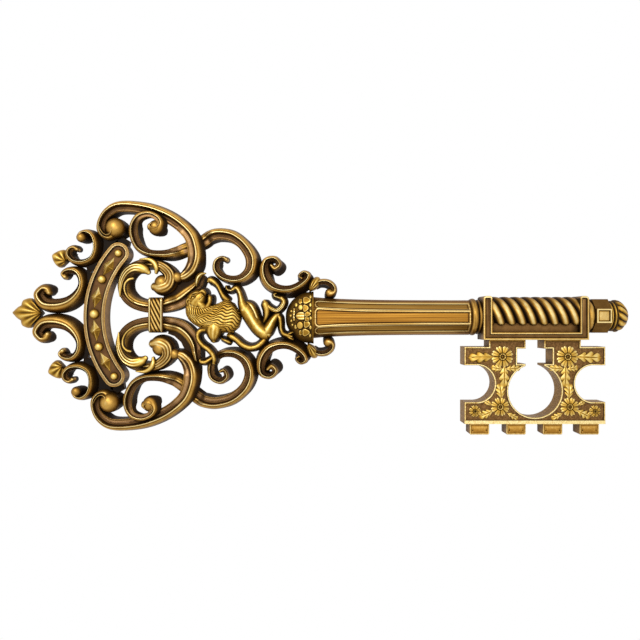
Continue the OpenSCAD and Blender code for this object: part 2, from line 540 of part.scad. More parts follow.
// The shank is an eight-sided half section with three sunk panels, flared towards the calyx.
panel_half = 6.6;
panel_flare = 3.4;
flare_length = 34;
border = 1.3;
function flare(x) = exp(-(x - shank_x) / flare_length);
function shank_half(x) = shank_end + (shank_root - shank_end) * flare(x);
function shank_ring(x, sunk) = let (
    w = shank_half(x),
    c = panel_half + panel_flare * flare(x),
    b = w - 3.4,
    s = panel_sink * sunk,
    low = 0.62 * shank_depth,
    side = [[w - 0.8, 0], [w, 0.3 * shank_depth], [b, low],
        mix([b, low], [c, shank_depth], 0.16),
        mix([b, low], [c, shank_depth], 0.22) - [0, s],
        mix([b, low], [c, shank_depth], 0.78) - [0, s],
        mix([b, low], [c, shank_depth], 0.84),
        [c, shank_depth], [c - border, shank_depth], [c - border - 0.4, shank_depth - s]])
    concat([for (p = side) [x, -p[0], p[1]]],
        [for (j = [len(side) - 1 : -1 : 0]) [x, side[j][0], side[j][1]]]);
collar_x = shank_x + shank_length;
sink_start = 3;
cavity_start = 22;
module shank() color(gold) on_wall() difference() {
    stations = [[0, 0], [sink_start, 0], [sink_start + 1, 1], [12, 1], [22, 1], [34, 1], [50, 1],
        [72, 1], [shank_length - sink_start - 2, 1], [shank_length - sink_start - 1, 0],
        [shank_length, 0]];
    loft([for (s = stations) shank_ring(shank_x + s[0], s[1])]);
    inner = shank_end - shank_wall;
    along_x(shank_x + cavity_start, shank_length - cavity_start - shank_wall - 4)
        polygon([[-inner, -1], [inner, -1], [inner, 0.3 * shank_depth],
            [panel_half - 1, shank_depth - shank_wall - 1], [1 - panel_half, shank_depth - shank_wall - 1],
            [-inner, 0.3 * shank_depth]]);
}
axis_z = 0.6;
nut_z = 1.6;
collar_r = 18.8;
module shank_collar() color(gold) on_wall() above_wall() turned_x(collar_x, axis_z) {
    polygon([[0, 0], [collar_r - 2.6, 0], [collar_r - 2.2, 0.6], [collar_r - 0.6, 1.6], [collar_r, 3.4],
        [collar_r - 0.6, 5.2], [collar_r - 2.2, 6.2], [collar_r - 2.2, 6.8], [collar_r - 1.2, 7.6],
        [collar_r - 1.2, 8.8], [collar_r - 2.2, 9.6], [collar_r - 2.6, collar_length], [0, collar_length]]);
}

// The barrel frame is an open tray with two cheeks, a ledge and a shelf with a round seat, in which
// the barrel lies. A sunk band runs round its front.
frame_x = collar_x + collar_length;
frame_top = 21.4;
frame_foot = -22.3;
ledge_top = -14.6;
shelf_depth = 16;
frame_rim = 1.4;
frame_sink = 1;
barrel_z = 3.4;
barrel_gap = 0.2;
module frame_front(inset) difference() {
    translate([frame_x + inset, frame_foot + inset])
        square([frame_length - 2 * inset, frame_top - frame_foot - 2 * inset]);
    translate([frame_x + cheek - inset, ledge_top - inset])
        square([frame_length - 2 * cheek + 2 * inset, 60]);
}
module barrel_frame() color(deep_gold) on_wall() difference() {
    union() {
        linear_extrude(frame_depth) frame_front(0);
        translate([frame_x + 1, frame_foot + 1, 0]) cube([frame_length - 2, barrel_z - frame_foot, shelf_depth]);
    }
    translate([0, 0, frame_depth - frame_sink]) linear_extrude(2) frame_front(frame_rim);
    translate([frame_x + cheek, barrel_z, axis_height]) rotate([0, 90, 0])
        cylinder(r = barrel_r + lap_gap, h = frame_length - 2 * cheek, $fn = 96);
    translate([frame_x + frame_length - cheek / 2, nut_z, axis_height]) rotate([0, 90, 0])
        cylinder(d = stud_d, h = cheek);
}
strand_depth = 2.6;
barrel_stations = 36;
barrel_across = 18;
module rope_barrel() color(gold) on_wall() {
    length = frame_length - 2 * cheek - 2 * barrel_gap;
    dip = asin((axis_height - 0.2) / barrel_r);
    loft([for (i = [0 : barrel_stations]) let (x = length * i / barrel_stations)
        [for (j = [0 : barrel_across]) let (
            a = mix(180 + dip, -dip, j / barrel_across),
            strand = strands * (x / strand_lead - (a - 90) / 360),
            r = barrel_r - strand_depth * (1 - abs(sin(180 * strand))))
            [frame_x + cheek + barrel_gap + x, barrel_z + r * cos(a), max(0, axis_height + r * sin(a))]]]);
}

// End ring, nut block and knob are threaded on one stud from the frame's cheek.
ring_x = frame_x + frame_length;
end_ring_length = 7.2;
nut_x = ring_x + end_ring_length;
knob_x = nut_x + nut_length;
bore_play = 0.2;
module end_ring() color(gold) on_wall() above_wall() turned_x(ring_x, nut_z) {
    bore = stud_d / 2 + bore_play;
    polygon([[bore, 0], [end_ring_r - 2, 0], [end_ring_r - 0.5, 1.5], [end_ring_r, 3.2],
        [end_ring_r, 4.2], [end_ring_r - 0.5, 5.8], [end_ring_r - 2, end_ring_length],
        [bore, end_ring_length]]);
}
module nut_block() color(deep_gold) on_wall() above_wall()
    translate([nut_x, nut_z, axis_height]) rotate([90, 0, 90]) difference() {
        side = nut_flats * tan(22.5) / 2;
        half = nut_flats / 2;
        linear_extrude(nut_length) polygon([[half, side], [side, half], [-side, half], [-half, side],
            [-half, -side], [-side, -half], [side, -half], [half, -side]]);
        translate([0, 0, -1]) cylinder(r = stud_d / 2 + bore_play, h = nut_length + 2);
        translate([-side + 1.4, half - 0.9, 1.4]) cube([2 * side - 2.8, 2, nut_length - 2.8]);
    }
gadroons = 14;
knob_across = 28;
knob_shape = [[0, 0.8], [0.08, 0.8], [0.1, 0.96], [0.2, 0.98], [0.24, 0.9], [0.34, 1], [0.5, 0.98],
    [0.66, 0.88], [0.8, 0.72], [0.92, 0.48], [1, 0.2]];
module knob() color(gold) on_wall() loft([for (s = knob_shape) let (
    r = knob_r * s[1],
    x = knob_x + knob_length * s[0],
    dip = asin(min(0.98, (axis_height - 0.02) / r)),
    cut = s[0] > 0.3 ? 0.07 : 0)
    [for (j = [0 : knob_across]) let (
        a = mix(180 + dip, -dip, j / knob_across),
        g = r * (1 - cut * (1 - abs(sin(180 * (gadroons * a / 360 + 1.6 * s[0]))))))
        [x, nut_z + g * cos(a), max(0, axis_height + g * sin(a))]]]);
module knob_stud() color(steel) on_wall()
    translate([ring_x - cheek / 2, nut_z, axis_height]) rotate([0, 90, 0])
        cylinder(d = stud_d, h = knob_x - ring_x + cheek / 2);

// The bit: a plate with two side notches and a keyhole, drawn with any inset from its edges.
bit_x = frame_x + frame_length / 2;
shoulder_z = frame_foot - bit_neck;
bit_foot = shoulder_z - bit_height;
notch_z = shoulder_z - 36.9;
notch_x = 58.6;
keyhole_z = shoulder_z - 44.2;
bar_w = 35.3;
bar_top = shoulder_z - 1.9;
bar_h = 15.2;
neck_w = 92;
module bit_outline(inset) translate([bit_x, 0]) difference() {
    union() {
        translate([-bit_length / 2 + inset, bit_foot + inset])
            square([bit_length - 2 * inset, bit_height - 2 * inset]);
        translate([-neck_w / 2 + inset, shoulder_z - 5]) square([neck_w - 2 * inset, bit_neck + 5]);
    }
    r = notch_r + inset;
    for (side = [-1, 1]) translate([side * notch_x, notch_z]) {
        circle(r);
        translate([side > 0 ? 0 : -30, -r]) square([30, 2 * r]);
    }
    translate([0, keyhole_z]) circle(keyhole_r + inset, $fn = 96);
    translate([-slot_w / 2 - inset, keyhole_z]) square([slot_w + 2 * inset, 60]);
    translate([-bar_w / 2 - inset, bar_top - bar_h - inset]) square([bar_w + 2 * inset, bar_h + 2 * inset]);
}
module bit_plate() color(deep_gold) on_wall() difference() {
    linear_extrude(bit_depth) bit_outline(0);
    translate([0, 0, bit_depth - bit_sink]) linear_extrude(bit_sink + 1) bit_outline(rim_w);
}
tooth_depth = 15;
module bit_teeth() color(gold) on_wall() for (i = [-1.5 : 1 : 1.5])
    translate([bit_x + i * tooth_pitch, bit_foot - tooth_l, 1.5]) {
        edge = 1;
        half = tooth_w / 2;
        linear_extrude(tooth_depth) polygon([[-half, tooth_l], [-half, edge], [edge - half, 0],
            [half - edge, 0], [half, edge], [half, tooth_l]]);
    }
// A pointed leaf or petal of a given length and width, from its root along +X.
module blade(length, width) {
    r = (length * length + width * width) / (4 * width);
    intersection() {
        translate([length / 2, width / 2 - r]) circle(r, $fn = 60);
        translate([length / 2, r - width / 2]) circle(r, $fn = 60);
    }
}
ground = bit_depth - bit_sink;
petals = 8;
module flower(dx, z, r) translate([bit_x + dx, z, ground]) {
    linear_extrude(1.5) for (k = [0 : petals - 1]) rotate([0, 0, k * 360 / petals + 22.5])
        translate([0.12 * r, 0]) blade(0.88 * r, 0.56 * r);
    linear_extrude(2.1) circle(0.34 * r);
    linear_extrude(2.8) circle(0.16 * r);
}
// Flowers on one half of the bit: distance from the middle, height, and how much smaller.
bit_blooms = [[33.2, -39.6, 0], [35.4, -89.8, 1.4], [60, -93.2, 5.4]];
module bit_flowers() color(pale_gold) on_wall() for (side = [-1, 1], bloom = bit_blooms)
    flower(side * bloom[0], bloom[1], flower_r - bloom[2]);
// Leaves on one half of the bit: distance from the middle, height, direction, length and width.
bit_sprays = [[46.5, -38.6, 0, 16, 7.6], [33, -51.4, -90, 15, 5.4], [32, -52, -150, 8.6, 4.6],
    [34, -52, -30, 6.8, 4.2], [34.6, -79.6, 92, 9, 4.6], [45.4, -92, -52, 10.4, 4.4],
    [45.8, -91, 40, 6, 3], [27, -94, -148, 10.4, 4]];
module bit_leaves() color(pale_gold) on_wall() for (side = [0, 1]) translate([bit_x, 0, ground])
    mirror([side, 0, 0]) for (s = bit_sprays) translate([s[0], s[1], 0]) rotate([0, 0, s[2]])
        linear_extrude(1.4) blade(s[3], s[4]);

// Hanger in the pocket on the back of the crest band. A plate with a rolled eye carries the bar
// of a D ring, which lies in the pocket and swings out from it.
plate_t = 1.2;
plate_w = 6;
eye_w = 6.4;
eye_wall = 1;
bar_r = ring_wire / 2;
eye_r = bar_r + ring_play / 2 + eye_wall;
bar_h_axis = pocket_floor - plate_t - bar_r - ring_play;
module hanger_plate() color(steel) on_wall() difference() {
    union() {
        translate([bar_x - 1, band_mid.y - pocket_l / 2 + 1, pocket_floor - plate_t])
            cube([plate_w, pocket_l - 2, plate_t]);
        translate([bar_x, band_mid.y - eye_w / 2, bar_h_axis]) rotate([-90, 0, 0])
            cylinder(r = eye_r, h = eye_w);
    }
    translate([bar_x, band_mid.y - pocket_l / 2, bar_h_axis]) rotate([-90, 0, 0])
        cylinder(r = bar_r + ring_play / 2, h = pocket_l);
    for (side = [-1, 1]) translate([screw_x, band_mid.y + side * screw_offset, 0])
        cylinder(d = screw_d + 0.3, h = pocket_floor + 1);
    translate([bar_x - 8, band_mid.y - 8, pocket_floor]) cube(16);
}
screw_head_d = 5;
screw_head_h = 1.4;
module hanger_screws() color(steel) on_wall() for (side = [-1, 1])
    translate([screw_x, band_mid.y + side * screw_offset, 0]) {
        translate([0, 0, pocket_floor - plate_t - screw_head_h]) cylinder(d = screw_head_d, h = screw_head_h);
        translate([0, 0, pocket_floor - plate_t - 0.4])
            cylinder(d = screw_d, h = plate_t + screw_hole_depth - 0.6);
    }
module hanger_ring() color(steel) on_wall() translate([bar_x, band_mid.y, bar_h_axis]) {
    half = ring_width / 2 - bar_r;
    bend = 3;
    leg = ring_reach - bar_r - bend;
    translate([0, -half, 0]) rotate([-90, 0, 0]) cylinder(r = bar_r, h = 2 * half);
    for (side = [-1, 1]) {
        translate([0, side * half, 0]) sphere(bar_r);
        translate([-leg, side * half, 0]) rotate([0, 90, 0]) cylinder(r = bar_r, h = leg);
        translate([-leg, side * (half - bend), 0]) rotate([0, 0, side > 0 ? 90 : 180])
            rotate_extrude(angle = 90) translate([bend, 0]) circle(bar_r);
    }
    translate([-leg - bend, bend - half, 0]) rotate([-90, 0, 0])
        cylinder(r = bar_r, h = 2 * (half - bend));
}

tip_leaf();
tip_scroll_upper();
tip_scroll_lower();
side_leaf_upper();
side_leaf_lower();
side_scroll_upper();
side_scroll_lower();
crown_scroll_upper();
crown_scroll_lower();
long_scroll_upper();
long_scroll_lower();
heart_scroll_upper();
heart_scroll_lower();
acanthus_upper();
acanthus_lower();
crest_band();
band_beads();
band_diamonds();
clasp();
clasp_strands();
lion();
tendril();
neck_scroll_upper();
neck_scroll_lower();
neck_leaf_upper();
neck_leaf_lower();
shoulder_hook_upper();
shoulder_hook_lower();
calyx();
shank();
shank_collar();
barrel_frame();
rope_barrel();
end_ring();
nut_block();
knob();
knob_stud();
bit_plate();
bit_teeth();
bit_flowers();
bit_leaves();
hanger_plate();
hanger_screws();
hanger_ring();
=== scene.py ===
"""Looks of the decorative wall key: fine castings, antique brass, studio light and camera.

Every piece is drawn in the frame of the CAD part, in millimetres: x along the key, z up and h the
height above the wall. `spot` turns such a place into Blender's metres. The bow is drawn upright,
and `lean` moves its points to where they lie on the key.
"""

from __future__ import annotations

import logging
import math
from dataclasses import dataclass, field
from enum import Enum
from typing import Callable, Iterable, Mapping, Sequence

import bmesh
import bpy
import numpy as np
from mathutils import Matrix, Vector

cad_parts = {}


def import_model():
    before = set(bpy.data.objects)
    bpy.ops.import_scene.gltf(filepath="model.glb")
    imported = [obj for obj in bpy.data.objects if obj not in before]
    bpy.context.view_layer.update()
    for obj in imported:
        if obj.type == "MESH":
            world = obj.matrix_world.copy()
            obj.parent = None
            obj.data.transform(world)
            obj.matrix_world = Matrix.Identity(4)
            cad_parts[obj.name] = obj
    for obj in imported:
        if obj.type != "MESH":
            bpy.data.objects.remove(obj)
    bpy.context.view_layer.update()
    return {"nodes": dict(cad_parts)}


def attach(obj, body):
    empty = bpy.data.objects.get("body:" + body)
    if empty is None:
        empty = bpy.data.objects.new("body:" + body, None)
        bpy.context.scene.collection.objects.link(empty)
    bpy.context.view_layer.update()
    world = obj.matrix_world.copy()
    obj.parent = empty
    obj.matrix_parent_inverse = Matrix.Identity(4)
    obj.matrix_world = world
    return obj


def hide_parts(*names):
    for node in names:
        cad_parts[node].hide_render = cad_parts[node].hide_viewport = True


LOG = logging.getLogger("wall_key")
MM = 0.001
KEY_BODY = "key"

# Sizes repeated from the CAD source, in millimetres.
BOW_X = 316 / 310.4
BOW_Z = 236 / 234
BOW_SWAY = 0.034
BOW_DROP = 0.016
LOWER_SWELL = 0.022
SWELL_LENGTH = 50
SCROLL_DEPTH = 14.0
LAP_GAP = 0.3
LAP_RAMP = 9.0
LION_BASE = 8.0

# Places of four things in pitches from their middle, and of mirrored things.
FOUR = (-1.5, -0.5, 0.5, 1.5)
SIDES = (-1, 1)
# Steps of a sweep's rounded end, bevel of a plate's front edge, wear of a leaf's ribs, and the
# distance, in metres, under which places are one.
END_TURNS = (0.4, 0.7, 0.9, 1.0)
ROUND_OFF = 0.4
LEAF_WEAR = 0.8
FINE = 1e-6

Row = Sequence[float]
Point = tuple[float, float]
Station = tuple[float, float, float]
Border = Sequence[tuple[float, float, float, float]]
Inputs = Mapping[str | int, object]
Colour = tuple[float, float, float]
Ramp = tuple[tuple[float, Colour], ...]
Place = tuple[Vector, float, float]
Ring = list[Place]


class Half(Enum):
    """The half of the bow that a scroll belongs to."""

    UPPER = 1
    LOWER = -1

    @property
    def side(self) -> str:
        """Name of the half in the names of its nodes."""
        return self.name.lower()


class Tone(Enum):
    """Colour families of the antique finish."""

    GOLD = "gold"
    PALE = "pale_gold"
    DEEP = "deep_gold"
    STEEL = "steel"


@dataclass(frozen=True)
class Lap:
    """A place where a scroll passes over or under another.

    Args:
        x: Place along the drawn bow.
        z: Height on the drawn bow.
        reach: Radius in which the lap is full.
        level: Height above the wall that both pieces keep to.
        way: 1 where this scroll passes over, -1 where it passes under.
    """

    x: float
    z: float
    reach: float
    level: float
    way: int

    def part(self, at: Row) -> float:
        """Returns 0 inside the lap and 1 well away from it."""
        return ease((math.hypot(at[0] - self.x, at[1] - self.z) - self.reach) / LAP_RAMP)


def clamp01(value: float) -> float:
    """Limits a value to the range from 0 to 1."""
    return min(1.0, max(0.0, value))


def ease(value: float) -> float:
    """Returns a smooth step of a value between 0 and 1."""
    t = clamp01(value)
    return t * t * (3 - 2 * t)


def mix(a: float, b: float, t: float) -> float:
    """Blends two numbers."""
    return a * (1 - t) + b * t


def bump(value: float, centre: float, reach: float) -> float:
    """Returns a smooth hill of height 1 round a centre."""
    return ease(1 - abs(value - centre) / reach)


def spot(x: float, z: float, h: float) -> Vector:
    """Returns the Blender place of a point on the key, given in millimetres."""
    return Vector((x * MM, -h * MM, z * MM))


def lean(x: float, z: float) -> tuple[float, float]:
    """Moves a drawn point of the bow to its place on the key."""
    swell = 1 + LOWER_SWELL * clamp01(-x / SWELL_LENGTH) if z < 0 else 1.0
    return (x + BOW_SWAY * z) * BOW_X, (z - BOW_DROP * x) * BOW_Z * swell


def curve(points: Sequence[Row], steps: int) -> list[list[float]]:
    """Runs a smooth curve through control points of any number of values.

    Args:
        points: Control points.
        steps: Stations from one control point to the next.

    Returns:
        The stations, ending on the last control point.
    """
    rows = [list(map(float, p)) for p in points]
    first = [2 * a - b for a, b in zip(rows[0], rows[1])]
    last = [2 * a - b for a, b in zip(rows[-1], rows[-2])]
    padded = [first, *rows, last]
    made = []
    for i in range(len(rows) - 1):
        quad = padded[i:i + 4]
        for k in range(steps):
            t = k / steps
            made.append([
                (2 * b + (c - a) * t + (2 * a - 5 * b + 4 * c - d) * t * t
                 + (3 * b - a - 3 * c + d) * t ** 3) / 2
                for a, b, c, d in zip(*quad)])
    made.append(rows[-1])
    return made


# Sections from the right edge to the left edge of a route: share of width, share of height, wear.
# The wear near 0 on the side walls is painted shade.
CHANNEL = [
    (0.04, 0.0, 0.0), (0.012, 0.12, 0.03), (0.0, 0.3, 0.08), (0.0, 0.48, 0.16), (0.004, 0.6, 0.34),
    (0.02, 0.66, 0.6), (0.045, 0.67, 0.68), (0.07, 0.65, 0.46), (0.1, 0.625, 0.4),
    (0.14, 0.64, 0.74), (0.18, 0.615, 0.58), (0.22, 0.635, 0.8), (0.26, 0.605, 0.58),
    (0.3, 0.63, 0.76), (0.34, 0.605, 0.56), (0.39, 0.61, 0.5), (0.44, 0.645, 0.32),
    (0.485, 0.72, 0.2), (0.515, 0.85, 0.42), (0.54, 0.955, 0.78), (0.565, 1.0, 0.94),
    (0.605, 1.0, 0.94), (0.63, 0.97, 0.82), (0.652, 0.935, 0.58), (0.68, 0.925, 0.54),
    (0.715, 0.93, 0.64), (0.755, 0.91, 0.72), (0.8, 0.865, 0.72), (0.845, 0.79, 0.64),
    (0.885, 0.69, 0.5), (0.922, 0.57, 0.34), (0.955, 0.44, 0.2), (0.98, 0.31, 0.11),
    (1.0, 0.18, 0.07), (0.995, 0.08, 0.03), (0.96, 0.0, 0.0)]
TROUGH_TINT = [clamp01(1.2 - abs(s - 0.26) * 4.4) for s, _, _ in CHANNEL]


def round_section(count: int) -> list[Station]:
    """Returns the plain round of a ball or limb; its wear falls from the front to the flanks, which
    paints shade on them.

    Args:
        count: Number of its points, as many as the channel has.

    Returns:
        Share of width, share of height and wear of each point.
    """
    made = []
    for j in range(count):
        rise = math.sin(math.pi * (-0.16 + 1.32 * j / (count - 1)))
        share = 0.5 - 0.5 * math.cos(math.pi * (-0.16 + 1.32 * j / (count - 1)))
        height = 0.45 + (0.55 if rise > 0 else 0.9) * rise
        # Wear falls from the front to the flanks: painted shade.
        made.append((share, max(0.0, height), 0.05 + 0.8 * clamp01(rise) ** 2))
    return made


ROUND = round_section(len(CHANNEL))


def section(bulb: float, crest: float, bend: float) -> list[Station]:
    """Returns a section between channel and round.

    Args:
        bulb: 0 for the channel and 1 for the round.
        crest: 1 with the crest on the left of the route, -1 on the right.
        bend: Power that moves the crest line towards the trough, over 1, or away from it.

    Returns:
        Share of width, share of height and wear of each point.
    """
    b = clamp01(bulb)
    plain = [(mix(c[0] ** bend, r[0], b), mix(c[1], r[1], b), mix(c[2], r[2], b))
             for c, r in zip(CHANNEL, ROUND)]
    turned = [(1 - s, h, w) for s, h, w in reversed(plain)]
    t = (crest + 1) / 2
    return [tuple(mix(p, q, t) for p, q in zip(a, c)) for a, c in zip(turned, plain)]


@dataclass(frozen=True)
class Finish:
    """A procedural metal finish.

    Args:
        name: Name of the material.
        tone: Colour family, which names the material slot of the record.
        ramp: Colours from the dark of the hollows to the polished edges, with their places.
        second: Colours of the tinted places, such as troughs and grounds.
        metallic: Share of metal in the shader.
        rough: Roughness in the hollows and on the polished edges.
        grain: Strength of the casting grain.
        grain_size: Repeats of the grain per metre.
        streak: Scale of the clouding along the key; under 1 it is drawn out into streaks.
        bare: Wear of a piece that has no wear of its own.
        cloud: How far the clouding moves the wear.
        cloud_size: Repeats of the clouding per metre.
    """

    name: str
    tone: Tone
    # tone: Colour family; it is not used.
    ramp: Ramp
    second: Ramp
    metallic: float = 0.82
    rough: Point = (0.6, 0.33)
    grain: float = 0.12
    grain_size: float = 900.0
    streak: float = 1.0
    bare: float = 0.0
    cloud: float = 0.14
    cloud_size: float = 160.0


def rgb(code: str) -> Colour:
    """Turns a colour as designers write it into linear light."""
    parts = [int(code[i:i + 2], 16) / 255 for i in (0, 2, 4)]
    return tuple(p / 12.92 if p <= 0.04045 else ((p + 0.055) / 1.055) ** 2.4 for p in parts)


def ramp_of(*codes: str) -> Ramp:
    """Returns evenly placed colours from dark to bright."""
    return tuple((k / (len(codes) - 1), rgb(code)) for k, code in enumerate(codes))


GOLD_RAMP = ramp_of("130A02", "2E1D09", "56390F", "7C5820", "A07632", "C79C4C", "F6DF9C")
BROWN_RAMP = ramp_of("170D05", "33210F", "5A3E22", "7E5C3A", "9C7850", "BC9868", "E6CC94")
ORANGE_RAMP = ramp_of("1C1004", "43290C", "74491A", "9C6A24", "BA8430", "D8A44C", "F4D894")
PALE_RAMP = ramp_of("120A02", "30200A", "634512", "946C22", "BE9238", "E0BC62", "FCE9A6")
ZINC_RAMP = ramp_of("3A3C40", "8E9196", "D6D8DC")
ANTIQUE = Finish("antique_brass", Tone.GOLD, GOLD_RAMP, BROWN_RAMP)
PALE = Finish("rubbed_brass", Tone.PALE, PALE_RAMP, BROWN_RAMP)
DEEP = Finish("toned_brass", Tone.DEEP, GOLD_RAMP, BROWN_RAMP, grain=0.2)
GRAINED = Finish("grained_brass", Tone.GOLD, GOLD_RAMP, ORANGE_RAMP, streak=0.04, cloud=0.6)
STIPPLED = Finish("stippled_brass", Tone.DEEP, GOLD_RAMP, BROWN_RAMP, grain=0.9,
                  grain_size=1100.0, cloud=0.34, cloud_size=620.0)
TOOTH = Finish("tooth_brass", Tone.GOLD, GOLD_RAMP, ORANGE_RAMP, cloud=0.22, cloud_size=420.0)
FUR = Finish("lion_brass", Tone.PALE, PALE_RAMP, BROWN_RAMP, grain=0.3, grain_size=700.0,
             cloud=0.24, cloud_size=330.0)
STEEL = Finish("zinc_plate", Tone.STEEL, ZINC_RAMP, ZINC_RAMP, metallic=0.95, rough=(0.5, 0.3),
               grain=0.05, bare=0.75)


class Graph:
    """A shader node tree that is filled node by node.

    Args:
        tree: Tree of a material or world; the nodes that it holds are removed.
    """

    def __init__(self, tree: bpy.types.NodeTree) -> None:
        """Clears the tree and keeps it."""
        tree.nodes.clear()
        self.tree = tree

    def feed(self, node: bpy.types.Node, inputs: Inputs) -> None:
        """Gives inputs of a node their values or links.

        Args:
            node: The node.
            inputs: Value, or socket to link from, of each named or numbered input.
        """
        for key, value in inputs.items():
            if isinstance(value, bpy.types.NodeSocket):
                self.tree.links.new(value, node.inputs[key])
            else:
                node.inputs[key].default_value = value

    def node(self, kind: str, inputs: Inputs | None = None) -> bpy.types.Node:
        """Adds a node.

        Args:
            kind: Type of the node, without ShaderNode.
            inputs: Value, or socket to link from, of each named or numbered input.

        Returns:
            The node.
        """
        made = self.tree.nodes.new("ShaderNode" + kind)
        self.feed(made, inputs or {})
        return made

    def maths(self, operation: str, first: bpy.types.NodeSocket, second: bpy.types.NodeSocket,
            clamp: bool = False) -> bpy.types.NodeSocket:
        """Adds a node that works on two numbers.

        Args:
            operation: Name of the operation.
            first: Socket of the first number.
            second: Socket of the second number.
            clamp: Whether the result stays between 0 and 1.

        Returns:
            The socket of the result.
        """
        made = self.node("Math", {0: first, 1: second})
        made.operation = operation
        made.use_clamp = clamp
        return made.outputs["Value"]

    def attribute(self, name: str) -> bpy.types.NodeSocket:
        """Adds a node that reads a number from the mesh.

        Args:
            name: Name of the attribute.

        Returns:
            The socket of the number.
        """
        made = self.node("Attribute")
        made.attribute_name = name
        return made.outputs["Fac"]

    def ramp(self, number: bpy.types.NodeSocket, colours: Ramp) -> bpy.types.NodeSocket:
        """Adds a colour ramp.

        Args:
            number: Socket that runs along the ramp.
            colours: Colours with their places.

        Returns:
            The socket of the colour.
        """
        made = self.node("ValToRGB", {"Fac": number})
        stops = made.color_ramp.elements
        while len(stops) < len(colours):
            stops.new(0.5)
        for stop, (at, colour) in zip(stops, colours):
            stop.position = at
            stop.color = (*colour, 1.0)
        return made.outputs["Color"]


class Foundry:
    """Makes and keeps the procedural materials."""

    def __init__(self) -> None:
        """Starts without a material."""
        self._made: dict[str, bpy.types.Material] = {}

    def material(self, finish: Finish) -> bpy.types.Material:
        """Returns the material of a finish, made once.

        Args:
            finish: The finish wanted.

        Returns:
            The Blender material.
        """
        if finish.name not in self._made:
            made = bpy.data.materials.new(finish.name)
            made.use_nodes = True
            self._fill(Graph(made.node_tree), finish)
            self._made[finish.name] = made
        return self._made[finish.name]

    @staticmethod
    def _fill(graph: Graph, finish: Finish) -> None:
        """Builds the nodes of a finish: wear with its painted shade, clouding and painted shade
        from ambient occlusion set colour, metal and shine.

        Args:
            graph: Graph of the material.
            finish: The finish wanted.
        """
        place = graph.node("TexCoord").outputs["Object"]
        across = 1.0 if finish.streak == 1 else 6.0
        drawn = graph.node("Mapping", {"Vector": place, "Scale": (finish.streak, 1.0, across)})
        cloud = graph.node("TexNoise", {"Vector": drawn.outputs["Vector"], "Detail": 5.0,
                                        "Scale": finish.cloud_size, "Roughness": 0.6})
        spread = graph.node("MapRange", {"Value": cloud.outputs["Fac"],
                                         "To Min": finish.bare - finish.cloud,
                                         "To Max": finish.bare + finish.cloud})
        worn = graph.maths("ADD", graph.attribute("wear_and_shade"), spread.outputs["Result"])
        # Ambient occlusion darkens the colour in hollows and between pieces: painted shade, which
        # also stands for the patina there.
        hollow = graph.node("AmbientOcclusion", {"Distance": 0.007})
        hollow.samples = 8
        shade = graph.node("MapRange", {"Value": hollow.outputs["AO"], "From Min": 0.15,
                                        "From Max": 0.95, "To Min": 0.36})
        tone = graph.maths("MULTIPLY", worn, shade.outputs["Result"])
        colour = graph.node("Mix")
        colour.data_type = "RGBA"
        graph.feed(colour, {0: graph.attribute("tint"), 6: graph.ramp(tone, finish.ramp),
                            7: graph.ramp(tone, finish.second)})
        metal = graph.node("MapRange", {"Value": tone, "From Max": 0.4, "To Min": 0.1,
                                        "To Max": finish.metallic})
        rough = graph.node("MapRange", {"Value": tone, "To Min": finish.rough[0],
                                        "To Max": finish.rough[1]})
        grain = graph.node("TexNoise", {"Vector": place, "Scale": finish.grain_size,
                                        "Detail": 3.0})
        relief = graph.node("Bump", {"Height": grain.outputs["Fac"], "Strength": finish.grain,
                                     "Distance": 0.0004})
        shader = graph.node("BsdfPrincipled", {
            "Base Color": colour.outputs[2], "Metallic": metal.outputs["Result"],
            "Roughness": rough.outputs["Result"], "Normal": relief.outputs["Normal"],
            "Specular IOR Level": 0.15})
        graph.node("OutputMaterial", {"Surface": shader.outputs["BSDF"]})


